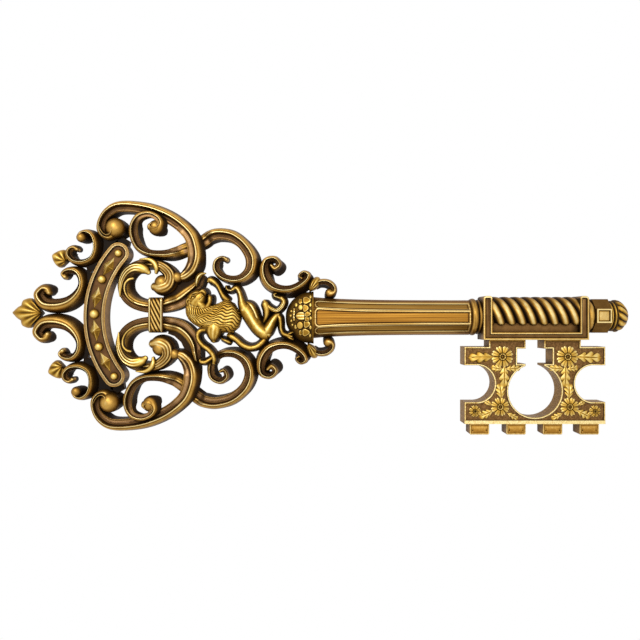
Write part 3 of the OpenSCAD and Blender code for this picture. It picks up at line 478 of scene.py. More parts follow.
class Casting:
    """One named piece, put together from mapped sheets and worn by its own relief.

    Args:
        node: CAD node that the piece replaces, and is named after.
        finish: Its finish.
    """

    def __init__(self, node: str, finish: Finish) -> None:
        """Starts an empty mesh with its layers of wear and tint; the wear layer also holds painted
        shade and light.
        """
        self.node = node
        self.finish = finish
        self.mesh = bmesh.new()
        # The wear layer holds rubbed wear and patina together with painted shade on walls, flanks
        # and facets.
        self.wear_and_shade = self.mesh.verts.layers.float.new("wear_and_shade")
        self.tint = self.mesh.verts.layers.float.new("tint")

    def sheet(self, rings: Sequence[Ring]) -> None:
        """Adds a sheet of closed rings, each with the same number of places.

        Args:
            rings: Places with their wear and tint, ring by ring.
        """
        rows, columns = len(rings) - 1, len(rings[0])
        grid = bmesh.ops.create_grid(
            self.mesh, x_segments=rows, y_segments=columns, size=0.5)["verts"]
        for vert in grid:
            ring = rings[round((vert.co.x + 0.5) * rows)]
            place = ring[round((vert.co.y + 0.5) * columns) % columns]
            vert.co, vert[self.wear_and_shade], vert[self.tint] = place
        bmesh.ops.remove_doubles(self.mesh, verts=grid, dist=2e-6)

    def ball(self, x: float, z: float, h: float, radius: float, wear_and_shade: float, draft: float = 0.0,
             foot: float = 0.0) -> None:
        """Adds a ball that goes down to the wall side as a post.

        Args:
            x: Place along the key.
            z: Place up the key.
            h: Height of its middle above the wall.
            radius: Radius across.
            wear_and_shade: Wear on its front; it falls towards its flanks as painted shade.
            draft: How far its wall slopes out at the wall side, towards the middle of the key.
            foot: Height of its back above the wall.
        """
        middle = -Vector((x, z)).normalized()
        made = bmesh.ops.create_uvsphere(
            self.mesh, u_segments=32, v_segments=20, radius=radius * MM)["verts"]
        for vert in made:
            deep = vert.co.y / (radius * MM)
            # The wear is highest on the front and falls to the flanks and back: painted shade.
            vert[self.wear_and_shade] = mix(0.12, wear_and_shade, clamp01(-deep)) if deep < 0 else 0.04
            if deep > 0:
                flank = Vector((vert.co.x, vert.co.z)).normalized() * radius
                flank += middle * (draft * deep * max(0.0, flank.dot(middle)) / radius)
                flank *= 0.0 if deep > 0.98 else 1.0
                vert.co = spot(x + flank.x, z + flank.y, mix(h, foot, deep))
            else:
                vert.co = spot(x, z, h) + vert.co

    def plate(self, outline: Sequence[Point], top: float, steps: Border, foot: float = 0.0,
              wall: float = 0.1) -> None:
        """Adds a flat casting with a stepped border that follows its outline.

        Args:
            outline: Corners in x and z, in millimetres.
            top: Height of its front edge above the wall.
            steps: Inset, rise, wear and tint of each step of the border, from the edge inwards.
            foot: Height of its back above the wall.
            wall: Wear of the side walls; low and negative values paint shade on them.
        """
        inset, height = 0.0, top - ROUND_OFF
        rings: list[Ring] = [
            # The side walls take the wall wear; low values paint them dark as painted shade.
            [(spot(x, z, foot), wall, 0.0) for x, z in outline],
            [(spot(x, z, height), 0.35, 0.2) for x, z in outline]]
        for more, rise, wear_and_shade, tint in [(ROUND_OFF, ROUND_OFF, steps[0][2], 0.0), *steps]:
            inset += more
            height += rise
            rings.append([(spot(x, z, height), wear_and_shade, tint) for x, z in offset(outline, inset)])
        self.sheet(rings)

    def pocket(self, outline: Sequence[Point], depth: float) -> None:
        """Sinks a pocket into the flat back of the plate made last.

        Args:
            outline: Corners of the pocket.
            depth: Depth of its floor from the back.
        """
        self.sheet([[(spot(x, z, h), 0.1, 0.2) for x, z in outline] for h in (0.0, depth)])
        rims = [edge for loop in open_loops(self.mesh) for edge in loop
                if all(abs(vert.co.y) < FINE for vert in edge.verts)]
        bmesh.ops.triangle_fill(self.mesh, edges=rims, use_beauty=True)

    def lathe(self, stations: Sequence[Station], axis_z: float, axis_h: float,
              shape: Callable[[float, float], Point] | None = None, around: int = 96) -> None:
        """Adds a turned form along the key, cut off at the wall.

        Args:
            stations: Place along the key, radius and wear.
            axis_z: Height of the axis up the key.
            axis_h: Height of the axis above the wall.
            shape: Gives the radius and wear to add from place and angle.
            around: Places round the form.
        """
        rings = []
        for x, radius, wear_and_shade in stations:
            dip = math.asin(min(0.999, axis_h / radius)) if radius > 0 else 0.0
            ring: Ring = []
            for j in range(around + 1):
                a = mix(math.pi + dip, -dip, j / around)
                more, rubbed = shape(x, a) if shape else (0.0, 0.0)
                r = radius + more
                # The wear falls on the faces that turn up and down, away from the front: painted
                # shade.
                front = clamp01(0.25 + 0.9 * math.sin(a))
                at = spot(x, axis_z + r * math.cos(a), max(0.0, axis_h + r * math.sin(a)))
                ring.append((at, clamp01((wear_and_shade + rubbed) * front), 0.0))
            rings.append(ring)
        self.sheet(rings)

    def fan(self, root: Point, way: float, edge: Sequence[Point], ribs: int, high: float,
            half: Half = Half.UPPER) -> None:
        """Adds a leaf whose ribs fan out from its root.

        Args:
            root: Root of the leaf on the drawn bow.
            way: Direction of the leaf in degrees.
            edge: Angle from the direction, in degrees, and reach of the outline, in millimetres.
            ribs: Number of ribs.
            high: Height of the leaf's middle above the wall.
            half: Half of the bow.
        """
        line = curve(edge, 10)
        first, last = line[0][0], line[-1][0]
        rows = 26
        rings = []
        for angle, reach in line:
            turn = math.radians(way + angle)
            across = 2 * (angle - first) / (last - first) - 1
            wave = math.cos(math.pi * ribs * (across + 1))
            ring: Ring = []
            for k in range(rows + 1):
                t = k / rows
                at = lean(root[0] + reach * t * math.cos(turn),
                          half.value * (root[1] + reach * t * math.sin(turn)))
                body = high * (0.62 + 0.38 * math.sin(math.pi * min(1.0, 0.25 + 0.6 * t)))
                body *= math.sqrt(max(0.0, 1 - max(0.0, (t - 0.72) / 0.3) ** 2))
                body *= 1 - 0.28 * across ** 2
                rib = wave * bump(t, 0.5, 0.55)
                wear_and_shade = LEAF_WEAR * (0.72 + 0.34 * rib - 0.5 * max(0.0, t - 0.8))
                wear_and_shade -= 0.25 * (1 - ease(t / 0.25))
                ring.append((spot(*at, max(0.0, body + 0.45 * rib)), clamp01(wear_and_shade), 0.0))
            ring.append((spot(*at, 0.0), 0.03, 0.0))
            ring.append((spot(*lean(root[0], half.value * root[1]), 0.0), 0.03, 0.0))
            rings.append(ring)
        self.sheet(rings)

    def prism(self, outline: Sequence[Point], start: float, end: float, wear_and_shade: float,
              tint: float = 0.0) -> None:
        """Adds a bar along the key.

        Args:
            outline: Corners of its section in z and h.
            start: Its left end along the key.
            end: Its right end.
            wear_and_shade: Its wear.
            tint: Its tint.
        """
        self.sheet([[(spot(x, z, h), wear_and_shade, tint) for z, h in outline] for x in (start, end)])

    def finish_piece(self, foundry: Foundry, relief: float, sharp: float) -> bpy.types.Object:
        """Closes the mesh, adds wear from its relief and gives it its material.

        Args:
            foundry: Maker of materials.
            relief: How strongly edges are rubbed and hollows darkened.
            sharp: Angle in degrees over which an edge stays sharp.

        Returns:
            The Blender object.
        """
        bmesh.ops.dissolve_degenerate(self.mesh, edges=self.mesh.edges, dist=1e-7)
        for loop in open_loops(self.mesh):
            bmesh.ops.triangle_fill(self.mesh, edges=loop, use_beauty=True)
        bmesh.ops.recalc_face_normals(self.mesh, faces=self.mesh.faces)
        for face in self.mesh.faces:
            face.smooth = True
        data = bpy.data.meshes.new(self.node + "_form")
        self.mesh.to_mesh(data)
        self.mesh.free()
        data.set_sharp_from_angle(angle=math.radians(sharp))
        rub(data, relief)
        data.materials.append(foundry.material(self.finish))
        piece = bpy.data.objects.new(data.name, data)
        bpy.context.scene.collection.objects.link(piece)
        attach(piece, KEY_BODY)
        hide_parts(self.node)
        return piece


def open_loops(mesh: bmesh.types.BMesh) -> list[list[bmesh.types.BMEdge]]:
    """Finds the open edges of a mesh, loop by loop.

    Args:
        mesh: The mesh.

    Returns:
        The edges of each loop.
    """
    left = {edge for edge in mesh.edges if edge.is_boundary}
    loops = []
    for first in mesh.edges:
        if first not in left:
            continue
        left.remove(first)
        waiting, loop = [first], []
        while waiting:
            edge = waiting.pop()
            loop.append(edge)
            for vert in edge.verts:
                for near in vert.link_edges:
                    if near in left:
                        left.remove(near)
                        waiting.append(near)
        loops.append(loop)
    return loops


def rub(data: bpy.types.Mesh, strength: float) -> None:
    """Raises the wear on outward edges and lowers it in hollows.

    Args:
        data: Mesh with the float attribute of wear and painted shade that Casting adds.
        strength: Share of the change.
    """
    count = len(data.vertices)
    rounds, fine = 5, 0.12 * MM
    place, normal = np.empty(count * 3), np.empty(count * 3)
    data.vertices.foreach_get("co", place)
    data.vertices.foreach_get("normal", normal)
    place, normal = place.reshape(-1, 3), normal.reshape(-1, 3)
    ends = np.empty(len(data.edges) * 2, dtype=np.int64)
    data.edges.foreach_get("vertices", ends)
    a, b = ends[0::2], ends[1::2]
    number = np.maximum(1, np.bincount(a, minlength=count) + np.bincount(b, minlength=count))
    smooth = place.copy()
    for _ in range(rounds):
        total = np.stack([
            np.bincount(a, weights=smooth[b, k], minlength=count)
            + np.bincount(b, weights=smooth[a, k], minlength=count) for k in range(3)], axis=1)
        smooth = 0.5 * smooth + 0.5 * total / number[:, None]
    proud = ((place - smooth) * normal).sum(axis=1) / fine
    wear_and_shade = np.empty(count, dtype=np.float32)
    layer = data.attributes["wear_and_shade"]
    layer.data.foreach_get("value", wear_and_shade)
    wear_and_shade = np.clip(wear_and_shade + strength * np.tanh(proud) * 0.5, 0.0, 1.0).astype(np.float32)
    layer.data.foreach_set("value", wear_and_shade)


@dataclass
class Scroll:
    """A swept scroll, leaf or limb along a drawn route.

    Args:
        points: Route points: x, z, width, share of the full height, bulb.
        half: Half of the bow.
        crest: Side of the crest at the start and at the end.
        change: Share of the route where the crest goes over.
        laps: Places where it passes over or under another piece.
        back: Height of its back above the wall.
        depth: Full height of its crest.
        steps: Stations between control points.
        ribs: Number of fine parallel ribs, their depth in millimetres and where along the route
            they are full.
        shown: Factor on the wear of the section.
        base: Height that the whole sweep is raised by.
        bend: Power that moves the crest line across the section.
        draft: How far the walls slope out at the back on the side of the key's middle.
        skirt: How far the walls slope out at the back all round.
    """

    points: Sequence[Row]
    half: Half = Half.UPPER
    crest: tuple[float, float] = (1, 1)
    change: float = 0.5
    laps: Sequence[Lap] = ()
    back: float = 0.0
    depth: float = SCROLL_DEPTH
    steps: int = 12
    ribs: tuple[float, float, float, float] | None = None
    shown: float = 1.0
    base: float = 0.0
    bend: float = 1.0
    draft: float = 0.0
    skirt: float = 0.0

    def rings(self) -> list[Ring]:
        """Draws the whole sweep.

        Returns:
            Its rings, with those of its rounded ends.
        """
        route = curve(self.points, self.steps)
        last = len(route) - 1
        made = []
        for i, p in enumerate(route):
            before, after = route[max(0, i - 1)], route[min(last, i + 1)]
            way = Vector((after[0] - before[0], after[1] - before[1])).normalized()
            side = mix(self.crest[0], self.crest[1], ease((i / last - self.change) / 0.06 + 0.5))
            turns = [0.0]
            if i == 0:
                turns = [*(-turn for turn in END_TURNS[::-1]), 0.0]
            if i == last:
                turns = [0.0, *END_TURNS]
            made += [self._ring(p, way, side, i / last, turn) for turn in turns]
        return made

    def _ring(self, p: Row, way: Vector, side: float, share: float, turn: float) -> Ring:
        """Draws one ring.

        Args:
            p: Station of the route.
            way: Direction of the route there.
            side: Side of the crest, 1 for the left and -1 for the right.
            share: Share of the route.
            turn: Step of a rounded end, and 0 along the route.

        Returns:
            The ring.
        """
        width = abs(p[2]) * math.sqrt(1 - turn * turn * 0.999)
        run = turn * 0.4 * abs(p[2])
        low = max([self.back] + [
            (lap.level + LAP_GAP) * (1 - lap.part(p)) for lap in self.laps if lap.way > 0])
        full = p[3] * self.depth
        high = min([full] + [
            mix(min(full, lap.level), full, lap.part(p)) for lap in self.laps if lap.way < 0])
        high = mix(low, high, 1 - 0.35 * abs(turn) ** 2)
        left = Vector((-way.y, way.x))
        ring: Ring = []
        tints = TROUGH_TINT if side > 0 else TROUGH_TINT[::-1]
        plain = 1 - clamp01(p[4])
        middle = -Vector((p[0], p[1])).normalized()
        for (s, h, wear_and_shade), tint in zip(section(p[4], side, self.bend), tints):
            outward = left if s > 0.5 else -left
            slope = clamp01(1 - h / 0.6) ** 1.2 * (1 - turn * turn)
            flank = (self.skirt + self.draft * max(0.0, outward.dot(middle))) * slope
            at = Vector((p[0], p[1])) + way * run + left * (width * (s - 0.5)) + outward * flank
            height = mix(low, high, h)
            if self.ribs:
                count, depth, start, end = self.ribs
                reach = bump(share, (start + end) / 2, (end - start) / 2 + 0.02)
                rib = math.cos(2 * math.pi * count * s) * reach * clamp01(2.2 * h - 0.7)
                height += depth * rib
                wear_and_shade += min(0.5, depth) * rib
            drop = self.skirt * 1.6 * clamp01(1 - h / 0.3)
            ring.append((spot(*lean(at.x, self.half.value * at.y),
                              max(0.0, self.base + height - drop)),
                         clamp01(wear_and_shade * self.shown), tint * plain))
        return ring


# Scroll routes, drawn for the upper half before the lean: x, z, width, share of the full height and
# bulb of each control point. The edges of leaves are angles and reaches.
TIP = [
    (-270.8, 20.6, 7, 0.86, 1), (-273.2, 24, 9.6, 0.9, 0.8), (-278.2, 24.6, 10.4, 0.91, 0.2),
    (-282.6, 18.2, 12, 0.95, 0), (-276, 9.2, 13.8, 1, 0), (-263.6, 7.5, 14.6, 1, 0),
    (-251.5, 10.8, 13.2, 1, 0), (-242.6, 18.6, 11, 1, 0), (-238.2, 28.6, 8.6, 1, 0),
    (-240, 38.2, 8, 0.95, 0), (-246, 44, 8, 0.91, 0), (-253.6, 43.8, 7.6, 0.88, 0.1),
    (-257.8, 40.2, 7.2, 0.86, 0.5), (-255.6, 36.8, 6.4, 0.82, 1)]
SIDE = [
    (-238.6, 76.2, 7, 0.95, 1), (-241.6, 77.2, 9.6, 0.95, 1), (-240.6, 81.4, 7, 0.9, 0.5),
    (-235, 83, 6, 0.91, 0), (-228.3, 78.1, 6.8, 0.95, 0), (-225.4, 67.4, 6.6, 1, 0),
    (-228.4, 56.6, 7, 1, 0), (-237, 51.6, 7, 1, 0), (-247, 52.4, 7.4, 0.95, 0),
    (-253.4, 58, 8, 0.91, 0), (-253.2, 63.8, 7.4, 0.88, 0.2), (-248.8, 66.6, 6.6, 0.86, 0.5),
    (-244.4, 64.8, 5.4, 0.82, 1)]
CROWN = [
    (-205.6, 93.4, 9, 0.86, 1), (-207.6, 86.4, 16.6, 1.14, 1), (-211.6, 78.8, 10, 0.91, 0.8),
    (-218.4, 79.2, 7, 0.86, 0.2), (-222.2, 86.2, 10, 0.91, 0), (-220.6, 95.6, 9.6, 0.95, 0),
    (-214.4, 103.8, 11, 1, 0), (-204.4, 109, 12.1, 1, 0), (-187.4, 108.9, 12.9, 1, 0),
    (-168.6, 105, 14, 1, 0), (-149.6, 96.6, 14, 1.05, 0), (-133.6, 83.4, 14, 1.09, 0),
    (-127.4, 70.6, 14.4, 1.11, 0), (-126, 58.2, 15, 1.09, 0), (-129.4, 47, 14.6, 1.07, 0.3),
    (-135.4, 40.4, 12.6, 1, 0.8), (-141.6, 38, 8.4, 0.92, 1)]
LONG_START = [
    (-171.4, 88.6, 8, 1, 1), (-166, 87, 14, 1.05, 1), (-161.8, 91.8, 9.2, 1.09, 0.6),
    (-164.8, 97.8, 7.2, 1.09, 0), (-173.4, 101.2, 6.6, 1.09, 0),
    (-183, 98.6, 7.6, 1.05, 0), (-189, 90.4, 9.2, 1, 0), (-189, 79.8, 10, 1, 0),
    (-183.6, 68.4, 9.6, 1, 0), (-174, 62.4, 8.4, 1, 0), (-162.6, 61, 8.6, 1, 0),
    (-150.8, 62, 10.6, 1, 0), (-139.4, 67.2, 12.6, 1, 0)]
LONG_END_UPPER = [
    (-122, 75.2, 13, 1, 0), (-113.6, 80.8, 12.8, 1, 0), (-102.6, 83.2, 12.4, 1, 0),
    (-89.8, 80.8, 12.4, 1, 0), (-78, 72, 12.4, 1, 0), (-70.2, 59.4, 13.4, 1, 0),
    (-70.7, 46.8, 12.8, 1, 0), (-78.6, 38.4, 10.6, 1, 0), (-88.4, 36.4, 9, 1, 0),
    (-99, 39.4, 8.4, 0.95, 0), (-105.6, 46.6, 8, 0.91, 0), (-105.4, 54.6, 7, 0.91, 0),
    (-100.4, 58.4, 5.6, 0.86, 0.3), (-95, 56.6, 6, 0.91, 1)]
LONG_END_LOWER = [
    (-120.6, 82, 13, 1, 0), (-111.2, 85.6, 12.8, 1, 0), (-100, 86.4, 12.4, 1, 0),
    (-84.6, 81.8, 12.4, 1, 0), (-72.2, 70.6, 12.2, 1, 0), (-67.8, 56.6, 11.6, 1, 0),
    (-72.2, 44, 11, 1, 0), (-81.8, 37.2, 9.6, 1, 0), (-93.6, 36.4, 8.6, 1, 0),
    (-104, 41.4, 8, 0.95, 0), (-108.4, 51.2, 8, 0.95, 0), (-105.2, 60.8, 7.6, 0.95, 0),
    (-97, 64.4, 7, 0.95, 0), (-91.2, 59.6, 6.4, 0.95, 0.2), (-93.6, 53.8, 4.8, 0.91, 0.6),
    (-98, 54.6, 3.4, 0.91, 1)]
HEART = [
    (-120.4, 39.4, 8, 0.86, 0), (-125, 31.2, 12, 0.91, 0), (-134.2, 22.4, 17.4, 0.95, 0),
    (-145.6, 14.4, 17.2, 1, 0), (-160, 9.6, 14.8, 1, 0), (-174, 9.1, 13.4, 1, 0),
    (-187, 13.4, 13.2, 1, 0), (-195.6, 22.8, 13.2, 1, 0), (-197.2, 34.4, 13, 1, 0),
    (-191.6, 44.2, 12.4, 1, 0), (-181.6, 50, 11.6, 1, 0.1), (-170, 51.4, 10.6, 1, 0.5),
    (-158.6, 48.4, 12, 1.05, 1), (-150.8, 40.6, 13.4, 1.09, 1), (-151.8, 31.4, 15, 1.14, 1),
    (-159, 27.8, 16.6, 1.14, 1), (-166.8, 28.6, 9, 0.91, 1)]
HEART_LOWER = [
    (-121.6, 43, 8, 0.86, 0), (-124.4, 32, 12, 0.91, 0), (-130.4, 20.6, 14.6, 0.95, 0),
    (-141, 12.2, 15.4, 1, 0), (-156.6, 8.6, 14.6, 1, 0)]
NECK = [
    (-50.6, 51.8, 4.2, 0.91, 1), (-46.4, 48.8, 6.4, 1, 0.8), (-42.6, 53.4, 6.8, 1, 0.4),
    (-47.6, 58.8, 6.4, 0.95, 0), (-55.4, 57, 7.4, 0.95, 0), (-58.1, 49.4, 10, 1, 0),
    (-56.6, 39.8, 12, 1, 0), (-51, 31.6, 12, 1, 0), (-42.2, 27.6, 10.2, 1, 0),
    (-31.8, 27.4, 9.2, 1, 0), (-22.4, 31.4, 8.4, 0.95, 0), (-15.4, 37.4, 8.4, 0.91, 0),
    (-13.4, 42.8, 7, 0.91, 0), (-18, 45.4, 4.8, 0.86, 0.2), (-21.8, 41.8, 4.4, 0.86, 0.5),
    (-19.4, 39, 3.4, 0.86, 1)]
HOOK = [
    (-6, 33.4, 5, 0.77, 0), (-1.4, 36, 5.8, 0.8, 0), (3.4, 36.6, 6.2, 0.82, 0),
    (8.4, 35.2, 6.6, 0.86, 0),
    (12.4, 31.2, 6.8, 0.91, 0.1), (12.8, 26.4, 7, 0.95, 0.8), (9.2, 24.1, 7.8, 0.95, 1),
    (5.6, 24.6, 4, 0.82, 1)]
ACANTHUS = [
    (-199.4, 18, 1.4, 0.86, 1), (-199, 26, 4.6, 0.98, 1), (-197.2, 35, 7.4, 1.08, 1),
    (-192.6, 42.6, 9.6, 1.14, 1), (-186.2, 46.6, 11, 1.18, 1), (-180, 46.8, 11.4, 1.18, 1),
    (-175, 45, 9.6, 1.12, 1), (-171.8, 42.6, 5.6, 0.96, 1)]
CURL = [
    (-184.6, 12.6, 1.4, 1.04, 1), (-191, 17.8, 2, 1.06, 1), (-194.2, 24.2, 2.2, 1.06, 1),
    (-193.9, 30.8, 2.6, 1.06, 1), (-190.4, 35, 3.2, 1.04, 1), (-187, 36.2, 3, 0.95, 1)]
TONGUE = [
    (-180.4, 55.4, 1.6, 1.02, 1), (-171.8, 55.4, 4.2, 1.1, 1), (-165.8, 52, 5.8, 1.16, 1),
    (-163.4, 46.8, 5.6, 1.16, 1), (-164, 42.2, 3.4, 1, 1)]
TIP_EDGE = [
    (-51.5, 13.2), (-50.0, 18.7), (-45.3, 21.3), (-39.1, 23.1), (-30.9, 25.0), (-23.7, 25.0),
    (-18.5, 24.6), (-12.4, 27.1), (-5.2, 29.8), (0, 31.8), (5.2, 29.8), (12.4, 27.1),
    (18.5, 24.6), (23.7, 25.0), (30.9, 25.0), (39.1, 23.1), (45.3, 21.3), (50.0, 18.7),
    (51.5, 13.2)]
SIDE_EDGE = [
    (-70, 8.4), (-62, 11), (-48, 13.2), (-32, 14.6), (-16, 16), (0, 17.6), (14, 15.8), (28, 13.8),
    (42, 12.2), (56, 10.4), (68, 7)]
NECK_EDGE = [
    (-34, 7), (-28, 10), (-20, 13.6), (-12, 16), (-4, 17.6), (4, 17.8), (12, 16.6), (20, 14),
    (28, 11), (34, 8)]
# Webs that fill the shaded gaps of the heart scrolls; their dark colour is painted shade.
HEART_WEB = [
    (-158, 16), (-143, 17.5), (-130, 28), (-125.6, 37), (-134, 38.4), (-146.4, 28.4), (-157, 24.6)]
LOWER_WEB = [
    (-150, 9), (-141, 12.2), (-130.4, 20.6), (-124.4, 32), (-122, 42), (-132, 42.4), (-134.6, 34),
    (-138.6, 26.6), (-145.4, 20.8), (-152, 18.4)]
COMMA = [
    (-222.4, 88, 1.6, 0.7, 1), (-220, 83.4, 1.8, 0.76, 1), (-216.6, 80.2, 2, 0.82, 1),
    (-212.6, 79.3, 2.2, 0.9, 1), (-209.2, 81.2, 2.4, 0.98, 1), (-208.4, 84.8, 2.6, 1, 1),
    (-210, 87.2, 3, 0.98, 1), (-213, 87.6, 3.4, 0.88, 1)]
LONG_COMMA = [
    (-164.8, 97, 1.6, 0.84, 1), (-162.4, 92.2, 2, 0.9, 1), (-164.6, 87.6, 2.2, 0.96, 1),
    (-169.4, 87, 2.4, 0.94, 1), (-171.4, 90, 2.6, 0.9, 1), (-169.4, 91.8, 2.6, 0.88, 1)]
TENDRIL = [
    (-115.6, 42.6, 1.6, 0.72, 1), (-119.4, 41.6, 4.4, 0.9, 1), (-122.4, 38, 5.2, 1, 1),
    (-123.6, 33, 4.4, 0.95, 1), (-123.8, 29.4, 1.6, 0.8, 1)]

# Heights at which pieces of the bow lap, and the places where they do.
LAP_LEVEL = 0.47 * SCROLL_DEPTH
TROUGH_LEVEL = 0.7 * SCROLL_DEPTH
TENDRIL_LEVEL = 0.58 * SCROLL_DEPTH
ACANTHUS_LEVEL = 0.7 * SCROLL_DEPTH
UNDER_CROWN = Lap(-130.5, 73.5, 14, LAP_LEVEL, -1)
OVER_LONG = Lap(-130.5, 73.5, 14, LAP_LEVEL, 1)
OVER_CROWN = Lap(-169, 99, 15, TROUGH_LEVEL, 1)
PAW_REST = Lap(-109, 42, 9, LION_BASE - LAP_GAP, -1)
CHEEK_REST = Lap(-128, 15, 14, LION_BASE - LAP_GAP, -1)
TENDRIL_REST = Lap(-121, 37, 10, TENDRIL_LEVEL, -1)
LEAF_RESTS = [Lap(x, z, 5, ACANTHUS_LEVEL, -1) for x, z in ((-190.5, 30), (-189, 38), (-181, 45))]


@dataclass
class Assembly:
    """A sub-assembly of the key.

    Args:
        foundry: Maker of materials.
        pieces: Its finished pieces.
    """

    foundry: Foundry
    pieces: list[bpy.types.Object] = field(default_factory=list)

    def keep(self, casting: Casting, relief: float = 0.5, sharp: float = 60) -> None:
        """Finishes a casting and keeps the piece; the values are those of finish_piece."""
        self.pieces.append(casting.finish_piece(self.foundry, relief, sharp))


@dataclass
class Bow(Assembly):
    """The pierced scrollwork of the bow.

    Args:
        draft: How far the scrolls' walls slope out at the back, towards the bow's middle.
        neck_draft: The same for the neck scrolls.
        curl_depth: Height of the thin curls that lead into the eye balls.
        web_top: Height of the webs in the heart scrolls, coloured dark as painted shade.
        web_foot: Height of their backs.
        scroll_relief: How strongly the edges of scrolls are rubbed.
        leaf_relief: How strongly the edges of leaves are rubbed.
    """

    draft: float = 3.4
    neck_draft: float = 5.4
    curl_depth: float = 17.5
    web_top: float = 6.0
    web_foot: float = 0.4
    scroll_relief: float = 0.15
    leaf_relief: float = 0.2

    def _single(self, name: str, finish: Finish, *parts: Scroll, balls: Iterable[Row] = (),
                webs: Iterable[Sequence[Point]] = ()) -> None:
        """Builds one node of the bow.

        Args:
            name: Name of the node.
            finish: Its finish.
            parts: Its sweeps.
            balls: Place on the drawn bow, height, radius and wear of each eye ball.
            webs: Outlines of its webs on the drawn bow, coloured dark as painted shade.
        """
        piece = Casting(name, finish)
        for part in parts:
            piece.sheet(part.rings())
        for x, z, h, radius, wear_and_shade in balls:
            piece.ball(*lean(x, z), h, radius, wear_and_shade, draft=self.draft)
        for web in webs:
            # The webs' low wear paints the gaps dark: painted shade.
            piece.plate([lean(x, z) for x, z in web], self.web_top, [(0.3, 0.0, 0.12, 0.2)],
                        foot=self.web_foot)
        self.keep(piece, relief=self.scroll_relief)

    def _leaf(self, name: str, root: Point, way: float, edge: Sequence[Point], ribs: int,
              high: float, half: Half = Half.UPPER) -> None:
        """Builds one ribbed leaf.

        Args:
            name: Name of the node.
            root: Root of the leaf on the drawn bow.
            way: Its direction in degrees.
            edge: Angles and reaches of its outline.
            ribs: Number of its ribs.
            high: Height of its middle.
            half: Its half of the bow.
        """
        leaf = Casting(name, PALE)
        leaf.fan(root, way, edge, ribs, high, half)
        self.keep(leaf, relief=self.leaf_relief)

    def build(self) -> None:
        """Builds every scroll and leaf of the bow."""
        self._leaf("tip_leaf", (-278.4, 0), 180, TIP_EDGE, 5, 10)
        self._single("tendril", PALE, Scroll(
            TENDRIL, back=TENDRIL_LEVEL + LAP_GAP, ribs=(2, 0.35, 0.0, 1.0)))
        for half in Half:
            self._rim(half)
            self._heart(half)
            self._neck(half)

    def _rim(self, half: Half) -> None:
        """Builds the outer scrolls.

        Args:
            half: Their half of the bow.
        """
        side, up = half.side, half.value
        self._single("tip_scroll_" + side, ANTIQUE,
                     Scroll(TIP, half, (-1, -1), bend=1.55, draft=self.draft))
        self._leaf("side_leaf_" + side, (-255.6, 52.4), 157, SIDE_EDGE, 4, 10, half)
        self._single("side_scroll_" + side, ANTIQUE,
                     Scroll(SIDE, half, bend=1.75, draft=self.draft),
                     balls=[(-240.2, up * 76.6, 9.4, 5, 0.7)])
        self._single("crown_scroll_" + side, ANTIQUE,
                     Scroll(CROWN, half, laps=[OVER_LONG], draft=self.draft,
                            ribs=(4, 0.45, 0.8, 1.0)),
                     Scroll(COMMA, half, depth=self.curl_depth),
                     balls=[(-206.7, up * 86.8, 7.5, 10.4, 0.78),
                            (-143.4, up * 38.2, 9.6, 5.6, 0.74)])

    def _heart(self, half: Half) -> None:
        """Builds the scrolls round the lion.

        Args:
            half: Their half of the bow.
        """
        side, up = half.side, half.value
        long_laps = [UNDER_CROWN, OVER_CROWN]
        heart_laps = [*LEAF_RESTS, CHEEK_REST]
        if half is Half.UPPER:
            long_end, change, heart_start, web = LONG_END_UPPER, 0.46, HEART[:5], HEART_WEB
            heart_laps.append(TENDRIL_REST)
        else:
            long_end, change, heart_start, web = LONG_END_LOWER, 0.44, HEART_LOWER, LOWER_WEB
            long_laps.append(PAW_REST)
        self._single("long_scroll_" + side, ANTIQUE,
                     Scroll([*LONG_START, *long_end], half, (-1, 1), change, long_laps,
                            draft=self.draft),
                     Scroll(LONG_COMMA, half, depth=self.curl_depth),
                     balls=[(-166.6, up * 88.2, 8.4, 7.6, 0.7)])
        self._single("heart_scroll_" + side, ANTIQUE,
                     Scroll([*heart_start, *HEART[5:]], half, (-1, -1), laps=heart_laps,
                            bend=1.2, draft=self.draft, ribs=(5, 0.55, 0.66, 0.97)),
                     balls=[(-158.3, up * 32.4, 7.6, 8.4, 0.7)],
                     webs=[[(x, up * z) for x, z in web]])
        rest = ACANTHUS_LEVEL + 2 * LAP_GAP
        self._single("acanthus_" + side, PALE,
                     Scroll(ACANTHUS, half, back=rest, ribs=(4, 0.55, 0.0, 0.86)),
                     Scroll(CURL, half, back=rest), Scroll(TONGUE, half, back=rest))

    def _neck(self, half: Half) -> None:
        """Builds the scrolls at the neck.

        Args:
            half: Their half of the bow.
        """
        side, up = half.side, half.value
        self._single("neck_scroll_" + side, ANTIQUE,
                     Scroll(NECK, half, (-1, -1), bend=1.2, draft=self.neck_draft))
        self._leaf("neck_leaf_" + side, (-11.6, 25.6), 58, NECK_EDGE, 4, 12.6, half)
        self._single("shoulder_hook_" + side, ANTIQUE, Scroll(HOOK, half, draft=self.draft),
                     balls=[(8.6, up * 24.9, 8.4, 4.6, 0.7)])


